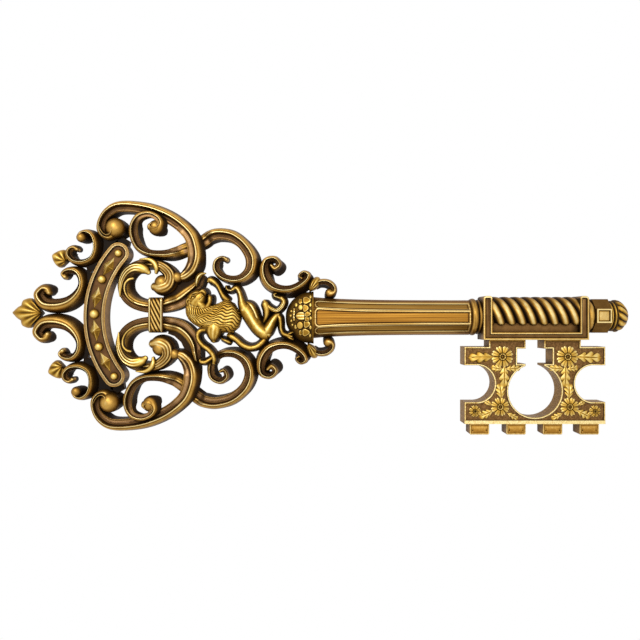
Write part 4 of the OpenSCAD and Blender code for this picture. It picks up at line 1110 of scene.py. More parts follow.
# Edge lines of the mane's locks, from the neck's upper side round the cheek to the chest.
LOCKS = [
    [(-110.5, 10.4), (-106.2, 10.4), (-101.6, 12.1), (-97.6, 14.4),
     (-93.5, 15.7), (-89.4, 15.4), (-85.3, 13.0)],
    [(-114.6, 8.6), (-109.3, 5.8), (-103.7, 6.1), (-98.2, 8.8),
     (-92.5, 10.6), (-86.8, 9.8), (-81.4, 6.6)],
    [(-119, 8.2), (-114.9, 2.2), (-108.5, 0.0), (-101.2, 1.3),
     (-93.1, 1.9), (-84.8, 0.8), (-77.8, -2.4)],
    [(-124, 9.4), (-121.3, 0.2), (-113.4, -4.8), (-104.2, -6.0),
     (-95.2, -6.7), (-86.1, -9.0), (-79.9, -10.9)],
    [(-128.2, 11.2), (-127.7, 1.2), (-120.9, -6.5), (-111.6, -10.2),
     (-102.4, -11.2), (-93.3, -13.1), (-86.7, -17.0)],
    [(-132.2, 12.6), (-132.8, 4.2), (-129.9, -3.4), (-123.9, -8.8),
     (-117.2, -12.2), (-111.3, -14.2), (-105.9, -15.3)]]
LIMBS = {
    "scalp": [(-129.6, 8.4, 6, 0.66), (-129, 13, 9, 0.84), (-126.4, 17.6, 10.4, 0.92),
        (-122, 21.4, 8.4, 0.94), (-118, 23, 4, 0.9)],
    "head": [(-124.5, 7.5, 15, 0.76), (-122.8, 12.5, 17, 0.92), (-119.6, 17.2, 15, 1),
        (-117.2, 21.2, 10.6, 0.92), (-115.8, 23.6, 5, 0.76)],
    "cheek": [(-113.6, 4.4, 6, 0.7), (-115.6, 8.2, 9.4, 0.86), (-118.4, 11.4, 9, 0.96),
        (-121.4, 14.6, 5, 0.9)],
    "brow": [(-126.8, 19.2, 1.4, 1), (-124.6, 21.6, 2.6, 1.1), (-121.4, 22.6, 2.8, 1.12),
        (-119, 22.6, 1.6, 1.06)],
    "nose": [(-119, 23.2, 3, 0.98), (-115.9, 24.3, 5, 1.04), (-113.8, 22.6, 4, 1),
        (-113.5, 20.6, 2, 0.84)],
    "lip": [(-119.4, 14.4, 2.6, 0.96), (-117.6, 17.6, 3, 1.08), (-115.4, 20.2, 2.4, 1)],
    "eye_lid": [(-127.2, 16.6, 1.1, 0.96), (-126.2, 19.2, 1.5, 1.1), (-123.8, 19.8, 1.5, 1.12),
        (-122.6, 17.8, 1.1, 1.08)],
    "jaw": [(-114.6, 7.6, 6, 0.7), (-111.2, 9.8, 6.2, 0.84), (-109.2, 13.8, 5.4, 0.88),
        (-109.2, 18, 5.6, 0.9), (-110.2, 20, 3.4, 0.76)],
    "ear": [(-129.7, 10.4, 2.2, 0.8), (-131.2, 13.4, 3, 0.95), (-129.9, 16, 3.2, 1.02),
        (-127.4, 15.6, 2.6, 1), (-127.8, 13.4, 1.4, 0.9)],
    "foreleg_high": [(-92.5, 15.3, 6.5, 0.5), (-96.3, 19.7, 5.2, 0.6), (-98.8, 23.8, 4.2, 0.62),
        (-102.3, 30.0, 4.2, 0.62), (-106.1, 33.8, 5.4, 0.66), (-110.0, 35.7, 6.2, 0.6),
        (-111.6, 34.5, 4.4, 0.5)],
    "claw": [(-94.3, 30.2, 1.6, 0.5), (-92.8, 26.8, 2.8, 0.62), (-89.4, 25.4, 3, 0.66),
        (-86.1, 26.9, 3.4, 0.68)],
    "arm": [(-87.7, 26.8, 4, 0.6), (-83.4, 28.0, 5, 0.72), (-80.4, 24.0, 5.6, 0.78),
        (-78.5, 18.2, 6.6, 0.84), (-77.0, 12.4, 9, 0.9), (-74.7, 7.5, 11, 0.94)],
    "trunk": [(-77.3, 10.9, 9, 0.7), (-73.9, 7.5, 13.4, 0.9), (-69.9, 1.8, 14.4, 0.95),
        (-65.2, -5.4, 14, 0.95), (-60.2, -11.8, 13.4, 0.98), (-54.0, -16.3, 13, 1),
        (-50.9, -16.6, 9, 0.9)],
    "belly": [(-73.2, 14.3, 3, 0.55), (-68.5, 11.0, 6.4, 0.78), (-64.8, 5.2, 6.6, 0.82),
        (-61.8, -2.1, 5.6, 0.78), (-58.4, -8.5, 5, 0.7)],
    "haunch": [(-56.3, -13.3, 9, 0.8), (-52.7, -14.2, 11.6, 1), (-49.8, -10.0, 10.4, 1),
        (-46.8, -4.3, 8.4, 0.95), (-43.5, 0.6, 6.6, 0.9), (-41.5, 2.1, 5, 0.8)],
    "shin": [(-43.4, 1.8, 4.4, 0.7), (-40.1, -0.6, 5, 0.82), (-38.8, -5.8, 4.2, 0.76),
        (-38.3, -11.5, 3.8, 0.7), (-36.2, -16.0, 4, 0.66), (-32.1, -17.9, 4, 0.6),
        (-27.6, -19.2, 3, 0.5)],
    "toe_high": [(-31.5, -17.4, 2.4, 0.55), (-28.6, -15.8, 2.6, 0.6), (-26.4, -14.8, 1.8, 0.5)],
    "toe_low": [(-31.5, -19.2, 2.4, 0.5), (-28.4, -21, 2.6, 0.55), (-26, -22, 1.8, 0.45)],
    "thigh": [(-55.5, -5.3, 3.4, 0.5), (-53.0, 0.5, 6, 0.7), (-52.8, 7.1, 7.4, 0.8),
        (-54.6, 12.8, 7.6, 0.8), (-55.5, 15.4, 4.6, 0.66)],
    "shank_high": [(-53.6, 12.1, 5, 0.7), (-48.4, 8.0, 5.4, 0.78), (-43.0, 6.3, 5.4, 0.78),
        (-38.5, 9.8, 5.4, 0.76), (-36.4, 15.2, 5.2, 0.72), (-38.9, 18.8, 4.4, 0.66)],
    "paw_high": [(-38.2, 18.0, 3.6, 0.62), (-42.0, 19.3, 3.4, 0.62), (-45.0, 20.3, 3.4, 0.66),
        (-46.0, 22.3, 3, 0.6), (-44.3, 23.3, 1.8, 0.5)],
    "tail": [(-53.4, -19.0, 4.4, 0.6), (-55.6, -23.9, 5.4, 0.7), (-61.1, -28.8, 5.6, 0.72),
        (-68.4, -30.4, 5.8, 0.74), (-75.9, -27.6, 5.8, 0.74), (-81.9, -22.7, 5.8, 0.72),
        (-87.4, -19.7, 6, 0.66), (-90.6, -18.8, 4, 0.5)],
    "tuft": [(-103.6, -5.3, 12, 0.8), (-104, -10.7, 17, 0.98), (-104.4, -16.4, 16, 0.94),
        (-104.6, -21.2, 11, 0.78), (-104.7, -24.6, 5.4, 0.52)],
    "tuft_tip": [(-96.7, -22.2, 2.6, 0.5), (-92.6, -23.9, 3.6, 0.66), (-89.0, -25.4, 3.6, 0.6),
        (-87.2, -26.1, 1.6, 0.45)],
    "foreleg_low": [(-112.8, -13.5, 5, 0.6), (-117.2, -14.5, 5.4, 0.72), (-120.0, -18.0, 5, 0.74),
        (-119.3, -23.3, 4.8, 0.74), (-115.2, -28.5, 5, 0.74), (-109.3, -32.7, 5.4, 0.76),
        (-104.9, -37.6, 5.4, 0.74), (-103.2, -42.5, 5, 0.68), (-103.9, -46.3, 4, 0.5)],
    "paw_low": [(-104.5, -40.1, 4, 0.6), (-107.6, -42.6, 4, 0.62), (-112.0, -45.2, 4.4, 0.66),
        (-116.0, -45.2, 4.2, 0.6), (-117.6, -43.4, 2.6, 0.5)]}
# Number and depth of the fine locks on the limbs that have them.
FURRY = {
    "shank_high": (4, 0.35), "tuft": (4, 0.1), "claw": (2, 0.3), "belly": (2, 0.25),
    "paw_high": (2, 0.3), "trunk": (2, 0.14), "haunch": (2, 0.14), "arm": (2, 0.14),
    "head": (3, 0.1)}


@dataclass
class Lion(Assembly):
    """The rampant lion, one casting over the scrollwork.

    Args:
        depth: Height of a limb over the lion's back.
        locks: Number of locks across the mane.
        waves: Waves along a lock.
        shown: Factor on the wear of the limbs.
        skirt: How far the limbs spread at their back.
        eye: Place on the drawn bow, height above the wall, radius and wear of the eye.
    """

    depth: float = 12.6
    locks: int = 14
    waves: float = 3.7
    shown: float = 0.8
    skirt: float = 2.3
    eye: tuple[float, float, float, float, float] = (-124.9, 17.6, 19.6, 1.5, 0.8)

    def _mane(self, share: float) -> Ring:
        """Draws a line of the mane, from the neck round to the tips of its locks.

        Args:
            share: Place across the locks, from the upper edge (0) to the lower (1).

        Returns:
            The ring.
        """
        place = share * (len(LOCKS) - 1)
        row = min(int(place), len(LOCKS) - 2)
        line = curve([[mix(a, b, place - row) for a, b in zip(p, q)]
                      for p, q in zip(LOCKS[row], LOCKS[row + 1])], 14)
        last = len(line) - 1
        ring: Ring = []
        for k, (x, z) in enumerate(line):
            t = k / last
            wave = 0.4 * ease(t / 0.2) * math.sin(2 * math.pi * (self.waves * t + 0.4 * share))
            across = abs(2 * ((self.locks * share + wave) % 1.0) - 1)
            lobe = math.sqrt(max(0.0, 1 - across ** 2.4))
            fall = (0.86 * abs(2 * share - 1) ** 3 + max(0.0, 2 * t - 1) ** 4
                    + 0.3 * (1 - ease(t / 0.1)))
            dome = math.sqrt(max(0.02, 1 - fall))
            high = LION_BASE + (0.44 + 0.52 * dome) * self.depth - 1.3 * (1 - lobe)
            # The wear is low in the grooves between the locks and falls towards the mane's rim:
            # painted shade, with patina in the grooves.
            wear_and_shade = 0.02 + 0.66 * lobe ** 1.2 * (0.6 + 0.4 * dome)
            wear_and_shade += 0.08 * math.sin(5 * t + 9 * share)
            ring.append((spot(*lean(x, z), high), clamp01(wear_and_shade), 0.0))
        return [*ring, (spot(*lean(*line[-1]), LION_BASE - 1), 0.03, 0.0),
                (spot(*lean(*line[0]), LION_BASE - 1), 0.03, 0.0)]

    def build(self) -> None:
        """Builds the lion."""
        piece = Casting("lion", FUR)
        lines = self.locks * 16
        piece.sheet([self._mane(k / lines) for k in range(lines + 1)])
        for name, rows in LIMBS.items():
            ribs = (*FURRY[name], 0.0, 1.0) if name in FURRY else None
            piece.sheet(Scroll([(*row, 1) for row in rows], depth=self.depth, base=LION_BASE,
                               skirt=self.skirt, shown=self.shown, ribs=ribs).rings())
        x, z, h, radius, wear_and_shade = self.eye
        piece.ball(*lean(x, z), h, radius, wear_and_shade)
        self.keep(piece)


def arc(x: float, z: float, radius: float, start: float, end: float, steps: int) -> list[Point]:
    """Draws an arc.

    Args:
        x: Its middle along the key.
        z: Its middle up the key, or above the wall in a section.
        radius: Its radius.
        start: Angle of its first point, in degrees.
        end: Angle of its last point.
        steps: Steps between them.

    Returns:
        Its points.
    """
    turns = [math.radians(mix(start, end, k / steps)) for k in range(steps + 1)]
    return [(x + radius * math.cos(turn), z + radius * math.sin(turn)) for turn in turns]


def offset(outline: Sequence[Point], inset: float) -> list[Point]:
    """Moves a closed outline inwards.

    Args:
        outline: Corners in order, in either direction.
        inset: Distance, in millimetres.

    Returns:
        The moved corners.
    """
    count = len(outline)
    area = sum(a[0] * b[1] - b[0] * a[1] for a, b in zip(outline, [*outline[1:], outline[0]]))
    way = 1 if area > 0 else -1
    made = []
    for k, corner in enumerate(outline):
        sides = []
        for a, b in ((outline[k - 1], corner), (corner, outline[(k + 1) % count])):
            run = Vector((b[0] - a[0], b[1] - a[1])).normalized()
            sides.append(Vector((-run.y, run.x)) * way)
        push = (sides[0] + sides[1]) / max(0.3, 1 + sides[0].dot(sides[1]))
        made.append((corner[0] + push.x * inset, corner[1] + push.y * inset))
    return made


def web_hole(first: int, last: int) -> list[Point]:
    """Returns quarter radians of the small hole's edge in the webs beside the crest band."""
    return [(-229.7 + 1.7 * math.cos(a / 4), 42.4 + 1.7 * math.sin(a / 4))
            for a in range(first, last)]


# Webs between the band's outer edge and the scrolls, coloured near black as painted shade in the
# gaps; two of them share the small hole.
WEBS = [
    [(-219, 76), (-211, 76), (-204, 76), (-206, 66), (-214, 52), (-223.6, 52.6), (-219.4, 64.5)],
    [(-208, 74), (-200, 78), (-193.5, 74), (-195, 64), (-200, 64), (-206, 68)],
    [(-235.6, 47.6), (-226.4, 52), (-219.4, 55.1), (-216, 46), (-223, 36), *web_hole(-4, 11)],
    [(-235.6, 47.6), *web_hole(10, 22), (-223, 36), (-226, 28), (-233.4, 27.8), (-234.6, 37.3)]]


@dataclass
class Band(Assembly):
    """The crest band with its beads and diamonds.

    Args:
        middle: Middle of the band's centre line.
        radius: Radius of the centre line.
        width: Width of the band.
        depth: Height of its border.
        sink: Depth of its ground below the border.
        pitch: Angle between neighbouring beads, in degrees.
        beads: Places of the beads, in pitches.
        bead_radius: Radius of the middle bead.
        pocket: Width, length and depth of the hanger's pocket.
        web_top: Height of the webs, coloured near black as painted shade.
        web_foot: Height of their backs.
        diamond: Reach across, reach along and height of a diamond.
    """

    middle: Point = (-227.023, 3.5985)
    radius: float = 97.98
    width: float = 21.5
    depth: float = 15.5
    sink: float = 1.6
    pitch: float = 19.6
    beads: Row = (-2, -1, 0, 1.07, 2)
    bead_radius: float = 5.0
    pocket: Station = (16.0, 38.0, 5.0)
    web_top: float = 7.0
    web_foot: float = 0.4
    diamond: Station = (5.8, 12.0, 4.4)

    def _on(self, angle: float, out: float = 0.0) -> Point:
        """Finds a point of the band.

        Args:
            angle: Angle from the band's middle, in degrees.
            out: Distance outwards from the centre line.

        Returns:
            Its place along and up the key.
        """
        tilt = math.atan(BOW_SWAY)
        turn = math.radians(180 - angle) - tilt
        centre = Vector(self.middle) + Matrix.Rotation(-tilt, 2) @ Vector((self.radius, 0))
        r = self.radius + out
        return centre.x + r * math.cos(turn), centre.y + r * math.sin(turn)

    def _outline(self) -> list[Point]:
        """Draws the outline of the band.

        Returns:
            Its corners, with those of its round ends.
        """
        end = self.pitch * 2
        half = self.width / 2
        count, cap_steps = 60, 24
        outer = [self._on(mix(-end, end, k / count), half) for k in range(count + 1)]
        inner = [self._on(mix(end, -end, k / count), -half) for k in range(count + 1)]
        caps = []
        for angle, way in ((end, 1), (-end, -1)):
            centre = Vector(self._on(angle))
            outward = (Vector(self._on(angle, half)) - centre) * way
            caps.append([
                tuple(centre + Matrix.Rotation(-math.pi * k / cap_steps, 2) @ outward)
                for k in range(1, cap_steps)])
        return [*outer, *caps[0], *inner, *caps[1]]

    def build(self) -> None:
        """Builds the band and what is set on it."""
        ground = self.depth - self.sink
        band = Casting("crest_band", DEEP)
        band.plate(self._outline(), self.depth, [
            (0.45, 0.0, 0.6, 0.7), (0.2, -0.3, 0.16, 0.8), (0.2, 0.3, 0.56, 0.8),
            (0.6, 0.0, 0.64, 0.7), (0.2, -0.35, 0.14, 0.8), (0.2, 0.4, 0.62, 0.5),
            (0.75, 0.0, 0.72, 0.4), (0.35, -1.5, 0.1, 0.6), (0.5, 0.0, 0.36, 1.0),
            (1.5, 0.0, 0.42, 1.0)])
        x, z, wide, long, depth = *self.middle, *self.pocket
        band.pocket([(x + a * wide / 2, z + b * long / 2)
                     for a, b in ((-1, -1), (1, -1), (1, 1), (-1, 1))], depth)
        for web in WEBS:
            for half in Half:
                # Negative wear and wall wear make the webs near black: painted shade.
                band.plate([lean(x, half.value * z) for x, z in web], self.web_top,
                           [(0.3, 0.0, -0.25, 0.0)], foot=self.web_foot, wall=-0.2)
        self.keep(band, sharp=30)
        beads = Casting("band_beads", PALE)
        for place in self.beads:
            radius = self.bead_radius * (1 - 0.1 * abs(place))
            beads.ball(*self._on(place * self.pitch), ground, radius, 0.68, foot=ground - 1)
        self.keep(beads)
        diamonds = Casting("band_diamonds", PALE)
        for place in FOUR:
            self._diamond(diamonds, place * self.pitch, ground)
        self.keep(diamonds, sharp=25)

    def _diamond(self, piece: Casting, angle: float, ground: float) -> None:
        """Adds one four-sided pyramid with hollow sides and long tips; its facets carry painted
        shade and light.

        Args:
            piece: Casting of the diamonds.
            angle: Its place on the band, in degrees.
            ground: Height of the band's ground.
        """
        middle = Vector(self._on(angle))
        out = (Vector(self._on(angle, 1)) - middle).normalized()
        along = Vector((-out.y, out.x))
        wide, long, high = self.diamond
        rings = []
        levels, around = 10, 48
        for k in range(levels + 1):
            t = k / levels
            ring: Ring = []
            for j in range(around):
                a = 2 * math.pi * j / around
                c, q = abs(math.cos(a)), abs(math.sin(a))
                if c * q > 0:
                    r = 1 / (c ** 0.85 / wide + q ** 0.85 / long)
                else:
                    r = wide if c > q else long
                side = out * math.cos(a) + along * math.sin(a)
                at = middle + side * r * (1 - t)
                edge = 1 if min(c, q) < 0.05 else 0.0
                # Facets that face down and right are made darker and the others lighter: painted
                # shade and light from the upper left.
                painted_facet_light = -0.3 if side.x - side.y > 0 else 0.08
                wear_and_shade = (0.7 + 0.2 * edge + 0.1 * t + painted_facet_light) * ease((t + 0.02) / 0.14)
                ring.append((spot(at.x, at.y, ground + high * t), clamp01(wear_and_shade), 0.0))
            rings.append(ring)
        piece.sheet(rings)


@dataclass
class Clasp(Assembly):
    """The strap over the heart scrolls, with its rope strands.

    Args:
        x: Its middle along the key.
        z: Its middle up the key.
        span: Its length up the key.
        width: Its width along the key.
        back: Height of its inner face.
        thick: Thickness of the strap.
        corner: Radius of its outer corners.
        edge: Width of the ridges beside the strands.
        pitch: Distance between strands.
        lay: Slope of the strands.
    """

    x: float = -165.2
    z: float = 2.53
    span: float = 35.8
    width: float = 14.6
    back: float = SCROLL_DEPTH + LAP_GAP
    thick: float = 1.6
    corner: float = 4.4
    edge: float = 2.2
    pitch: float = 7.4
    lay: float = 1.9

    def build(self) -> None:
        """Builds strap and strands."""
        half, top, r = self.span / 2, self.back + self.thick, self.corner
        inner = half - self.thick
        left, right = self.x - self.width / 2, self.x + self.width / 2
        outer = [(-half, 0.0), *arc(-half + r, top - r, r, 180, 90, 8),
                 *arc(half - r, top - r, r, 90, 0, 8), (half, 0.0)]
        hollow = [(inner, 0.0), (inner, self.back), (-inner, self.back), (-inner, 0.0)]
        strap = Casting("clasp", DEEP)
        strap.prism([(self.z + z, h) for z, h in [*outer, *hollow]], left, right, 0.16, 0.4)
        for start in (left + 0.7, right - self.edge):
            for inset, rise, wear_and_shade in ((0.0, 0.6, 0.34), (0.4, 1.2, 0.86)):
                bar = [(z, h + rise if h > 0 else h) for z, h in outer]
                strap.prism([(self.z + z, h) for z, h in [*bar, *hollow]],
                            start + inset, start + self.edge - 0.7 - inset, wear_and_shade)
        self.keep(strap, sharp=35)
        self._strands(half, top, left + self.edge, right - self.edge)

    def _strands(self, half: float, top: float, left: float, right: float) -> None:
        """Builds the strands between the ridges.

        Args:
            half: Half the clasp's length up the key.
            top: Height of the strap's front.
            left: Their left end along the key.
            right: Their right end.
        """
        strands = Casting("clasp_strands", ANTIQUE)
        rings = []
        rows, columns = 140, 24
        low = top - 0.6
        for i in range(rows + 1):
            z = mix(-half + 0.3, half - 0.3, i / rows)
            over = clamp01((abs(z) - half + self.corner) / self.corner)
            fall = self.corner * (1 - math.sqrt(1 - over ** 2))
            ring: Ring = []
            for j in range(columns + 1):
                x = mix(left, right, j / columns)
                f = ((z + self.lay * (x - self.x)) / self.pitch) % 1.0
                lobe = math.sqrt(max(0.0, 1 - (2 * f - 1) ** 2))
                dome = math.sqrt(max(0.1, 1 - ((x - self.x) / 5.6) ** 2))
                # The wear falls where the strands turn down round the strap's corners: painted
                # shade on the turned-away ends.
                wear_and_shade = (0.04 + 0.7 * lobe ** 1.5) * (1 - 0.8 * over)
                ring.append((spot(x, self.z + z, low + 2.1 * lobe * dome - fall), wear_and_shade, 0.0))
            ring += [(spot(x, self.z + z, low - fall), 0.1, 0.0) for x in (right, left)]
            rings.append(ring)
        strands.sheet(rings)
        self.keep(strands)


# Petals, buds and beads of the calyx, the uppermost first: x, z, reach along, reach across, lift
# and flutes.
PETALS = [
    (-9.6, 21.4, 1.3, 2.2, 0.7, 0), (-9.6, 12.9, 1.3, 2.4, 0.7, 0), (-9.4, 6.6, 1.2, 1.6, 0.7, 0),
    (-9.4, -0.6, 1.3, 2.0, 0.7, 0), (-9.6, -10.2, 1.3, 2.2, 0.7, 0), (-10, -18.6, 1.3, 2.2, 0.7, 0),
    (-13.6, 17.6, 4.4, 4.0, 1.0, 1), (-19.6, 10.4, 2.5, 3.2, 0.9, 0),
    (-14.6, 9.6, 3.1, 4.2, 0.8, 1), (-12.6, 3.6, 3.4, 3.0, 1.0, 1), (-12.8, -1.6, 3.0, 2.4, 0.9, 1),
    (-20.2, -8.0, 3.4, 4.0, 0.9, 0), (-13.4, -6.6, 3.6, 4.2, 1.0, 1),
    (-14.4, -15.2, 4.2, 4.2, 1.0, 1), (-18.6, 1.6, 6.4, 4.6, 0.7, 3),
    (-26.2, 3.0, 1.3, 7.6, 0.9, 5), (-19.6, 16.8, 2.6, 2.8, 0.6, 1),
    (-19.2, -15.6, 2.6, 2.8, 0.6, 1), (-24.6, -9.6, 1.6, 2.6, 0.7, 0),
    (-24.2, 13.0, 1.6, 2.4, 0.7, 0), (-29.2, 6.6, 1.4, 1.5, 0.8, 0), (-29.8, 1.8, 1.4, 1.7, 0.8, 0),
    (-29.2, -3.4, 1.4, 1.5, 0.8, 0), (-28.0, -7.6, 1.3, 1.4, 0.8, 0)]


@dataclass
class Shaft(Assembly):
    """The long middle of the key: calyx, shank, collar, frame, barrel, nut and knob.

    Args:
        shank_x: Left end of the shank.
        shank_length: Its length.
        shank_half: Half height of the shank at the collar.
        flare: How much wider half the shank is at the calyx.
        flare_length: Length in which the flare falls off.
        depth: Height of the shank's front panel.
        frame_x: Left end of the barrel frame.
        frame_length: Its length.
        axis_h: Height of the turned pieces' axis above the wall.
        nut_z: Height of the knob's axis up the key.
        barrel_r: Radius of the rope barrel.
        barrel_z: Height of its axis up the key.
    """

    shank_x: float = -6.5
    shank_length: float = 158.5
    shank_half: float = 17.6
    flare: float = 3.4
    flare_length: float = 34
    depth: float = 20.0
    frame_x: float = 162.5
    frame_length: float = 105.0
    axis_h: float = 5.0
    nut_z: float = 1.6
    barrel_r: float = 17.8
    barrel_z: float = 3.4

    def build(self) -> None:
        """Builds every piece of the shaft."""
        self._calyx()
        self._shank()
        self._collar()
        self._frame()
        self._barrel()
        self._end_ring()
        self._nut(274.7)
        self._knob(290.7)

    def _calyx(self) -> None:
        """Builds the half cup with its overlapping petals."""
        rows, across = 130, 240
        radius, centre, depth = 26.9, -8.5, 20.5
        rings = []
        far = centre - radius + 0.4
        for i in range(rows + 1):
            share = i / rows
            x = far + (self.shank_x - far) * (1 - math.cos(math.pi / 2 * share))
            half = BOW_Z * math.sqrt(max(1.0, radius ** 2 - (x - centre) ** 2))
            high = depth * math.sqrt(clamp01(0.1 + 0.94 * share))
            ring: Ring = [(spot(x, -half * 0.96, 0), 0.05, 0.0)]
            for j in range(across + 1):
                a = math.pi * (1 - j / across)
                lift, wear_and_shade = self._ornament(x, half * math.cos(a))
                h = 2 + (high * 0.94 + 1.5 * lift - 2) * math.sin(a) ** 0.8
                at = spot(x, half * math.cos(a) * (0.97 + 0.03 * lift), max(0.0, h))
                ring.append((at, wear_and_shade, 0.0))
            ring.append((spot(x, half * 0.96, 0), 0.05, 0.0))
            rings.append(ring)
        cup = Casting("calyx", PALE)
        cup.sheet(rings)
        self.keep(cup, relief=0.25)

    @staticmethod
    def _ornament(x: float, z: float) -> Point:
        """Finds the uppermost petal, bud or bead at a place of the cup.

        Args:
            x: Place along the key.
            z: Place up the key.

        Returns:
            Its lift and wear.
        """
        for px, pz, rx, rz, high, flutes in PETALS:
            turn = math.atan2((z - pz) / rz, (x - px) / rx)
            lobes = 1 + 0.13 * math.cos(3 * turn) if flutes == 1 else 1.0
            d = math.hypot((x - px) / rx, (z - pz) / rz) / lobes
            if d < 1:
                dome = math.sqrt(1 - d * d)
                wave = math.cos(math.pi * flutes * (z - pz) / rz) if flutes > 1 else 0.0
                edge = ease((1 - d) / 0.25)
                if flutes == 1:
                    wear_and_shade = 0.1 + edge * (0.42 + 0.36 * bump(d, 0.74, 0.2))
                else:
                    wear_and_shade = 0.1 + edge * (0.5 + 0.2 * dome + 0.16 * wave)
                return high * (0.35 + 0.65 * dome) + 0.14 * wave * edge, clamp01(wear_and_shade)
            if d < 1.12:
                return 0.0, 0.04
        return (0.5 if x > -8 else 0.15), 0.3

    def _shank(self) -> None:
        """Builds the shank with three bordered panels."""
        rows, across = 220, 150
        low = 0.62 * self.depth
        rings = []
        for i in range(rows + 1):
            u = self.shank_length * i / rows
            x = self.shank_x + u
            w = self.shank_half + self.flare * math.exp(-(x - self.shank_x) / self.flare_length)
            crown = 6.6 + self.flare * math.exp(-u / self.flare_length)
            side = w - 3.4
            slope = math.hypot(side - crown, self.depth - low)
            total = 2 * (slope + crown)
            front: Ring = []
            for j in range(across + 1):
                d = total * j / across - total / 2
                if abs(d) <= crown:
                    z, h = d, self.depth
                    edge, tone, rubbed = crown - abs(d), 0.8, -0.03
                else:
                    k = (abs(d) - crown) / slope
                    z, h = math.copysign(mix(crown, side, k), d), mix(self.depth, low, k)
                    edge, tone, rubbed = min(abs(d) - crown, total / 2 - abs(d)), 0.1, 0.06
                relief, wear_and_shade, ground = self._panel(u, edge)
                front.append((spot(x, z, h + relief), clamp01(wear_and_shade + rubbed), tone * ground))
            wall = [(w - 0.8, 0.0, 0.04, 0.0), (w, 3.0, 0.1, 0.2),
                    (w, 0.3 * self.depth, 0.22, 0.4), (w - 1.4, 0.46 * self.depth, 0.3, 0.6)]
            rings.append([*[(spot(x, -z, h), wear_and_shade, tint) for z, h, wear_and_shade, tint in wall], *front,
                          *[(spot(x, z, h), wear_and_shade, tint) for z, h, wear_and_shade, tint in wall[::-1]]])
        shank = Casting("shank", GRAINED)
        shank.sheet(rings)
        self.keep(shank, relief=0.25, sharp=40)

    def _panel(self, u: float, edge: float) -> Station:
        """Draws the border of a sunk panel.

        Args:
            u: Distance from the shank's left end.
            edge: Distance from the panel's nearest long edge.

        Returns:
            Rise, wear and share of panel ground there.
        """
        corner = 4.6
        start, stop = u - 1.2, self.shank_length - 1.4 - u
        along = min(start, stop)
        if start < corner and edge < corner:
            inside = corner - math.hypot(corner - along, corner - edge)
        else:
            inside = min(along, edge)
        if inside < 0:
            return -0.35, 0.3, 0.2
        line = bump(inside, 0.75, 0.75)
        groove = bump(inside, 1.9, 0.6)
        ground = clamp01((inside - 1.4) / 0.8)
        rise = 0.15 * line - 0.35 * groove - 0.75 * ground
        wear_and_shade = mix(0.56, 0.55, ground) + 0.46 * line - 0.42 * groove
        return rise, wear_and_shade, ground

    def _collar(self) -> None:
        """Builds the double-beaded collar between shank and frame."""
        r = 18.8
        x = self.shank_x + self.shank_length
        stations = [
            (x, 4.0, 0.1), (x, r - 2.6, 0.2), (x + 0.4, r - 1.6, 0.4), (x + 1.2, r - 0.7, 0.6),
            (x + 2.4, r - 0.15, 0.4), (x + 3.4, r, 0.52), (x + 4.4, r - 0.15, 0.34),
            (x + 5.4, r - 0.8, 0.3), (x + 6.2, r - 2.0, 0.12), (x + 6.7, r - 2.4, 0.1),
            (x + 7.2, r - 1.8, 0.35), (x + 8, r - 1.25, 0.46), (x + 8.8, r - 1.25, 0.46),
            (x + 9.6, r - 1.9, 0.3), (x + 10.2, r - 2.5, 0.1), (x + 10.5, r - 2.6, 0.1),
            (x + 10.5, 4.0, 0.1)]
        collar = Casting("shank_collar", ANTIQUE)
        collar.lathe(stations, 0.6, self.axis_h)
        self.keep(collar)

    def _frame(self) -> None:
        """Builds the tray with its bordered front, its shelf and seat."""
        x0, x1 = self.frame_x, self.frame_x + self.frame_length
        top, foot, ledge, cheek, seat_end = 21.4, -22.3, -14.6, 9.0, -14.0
        outline = [
            *arc(x0 + 2.6, top - 2.6, 2.6, 180, 90, 6),
            *arc(x0 + cheek - 2.6, top - 2.6, 2.6, 90, 0, 6),
            (x0 + cheek, ledge), (x1 - cheek, ledge),
            *arc(x1 - cheek + 2.6, top - 2.6, 2.6, 180, 90, 6),
            *arc(x1 - 3.4, top - 3.4, 3.4, 90, 0, 6),
            (x1, foot), (x0, foot)]
        tray = Casting("barrel_frame", DEEP)
        # Negative wall wear paints the tray's side walls dark: painted shade.
        tray.plate(outline, 22.0, [
            (1.3, 0.0, 0.92, 0.0), (0.25, -0.7, 0.12, 0.4), (0.25, 0.0, 0.3, 0.6),
            (0.35, 0.25, 0.5, 0.4), (0.25, -0.3, 0.16, 0.6), (0.3, 0.0, 0.48, 0.6)], wall=-0.08)
        tray.prism([(foot + 1, 0.4), (foot + 1, 16.0), (-5.6, 15.6), (-5.6, 13.0),
                    (seat_end, 4.0), (seat_end, 0.4)], x0 + 1, x1 - 1, 0.3, 0.6)
        self.keep(tray, sharp=30)

    def _twist(self, x: float, a: float) -> Point:
        """Shapes the strands of the rope barrel and paints shade into their wear.

        Args:
            x: Place along the key.
            a: Angle round the barrel.

        Returns:
            Radius and wear to add there.
        """
        strands, lead, bulb_x, bulb_turn = 4, 43.1, 182.4, 0.129
        turn = (a - math.pi / 2) / (2 * math.pi) - bulb_turn
        across = abs(2 * ((strands * ((x - bulb_x) / lead - turn) + 0.5) % 1.0) - 1)
        lobe = math.sqrt(max(0.0, 1 - (across * 1.06) ** 2.4))
        foot = -9.8 + 3.8 * (1 - math.sqrt(max(0.0, 1 - across ** 2)))
        z = self.barrel_z + self.barrel_r * math.cos(a)
        end = math.sqrt(1 - (1 - clamp01((z - foot) / 3.4)) ** 2)
        # Wear falls in the valleys between strands (patina and painted shade), where the strands
        # run into the shelf and towards the barrel's lower side (painted shade).
        dark = 0.12 * across + 0.72 * ease((across - 0.16) / 0.7)
        low = ease((1 - z) / 12)
        return -3.6 * (1 - lobe) - 4.0 * (1 - end), -dark - 0.36 * (1 - end) - 0.14 * low

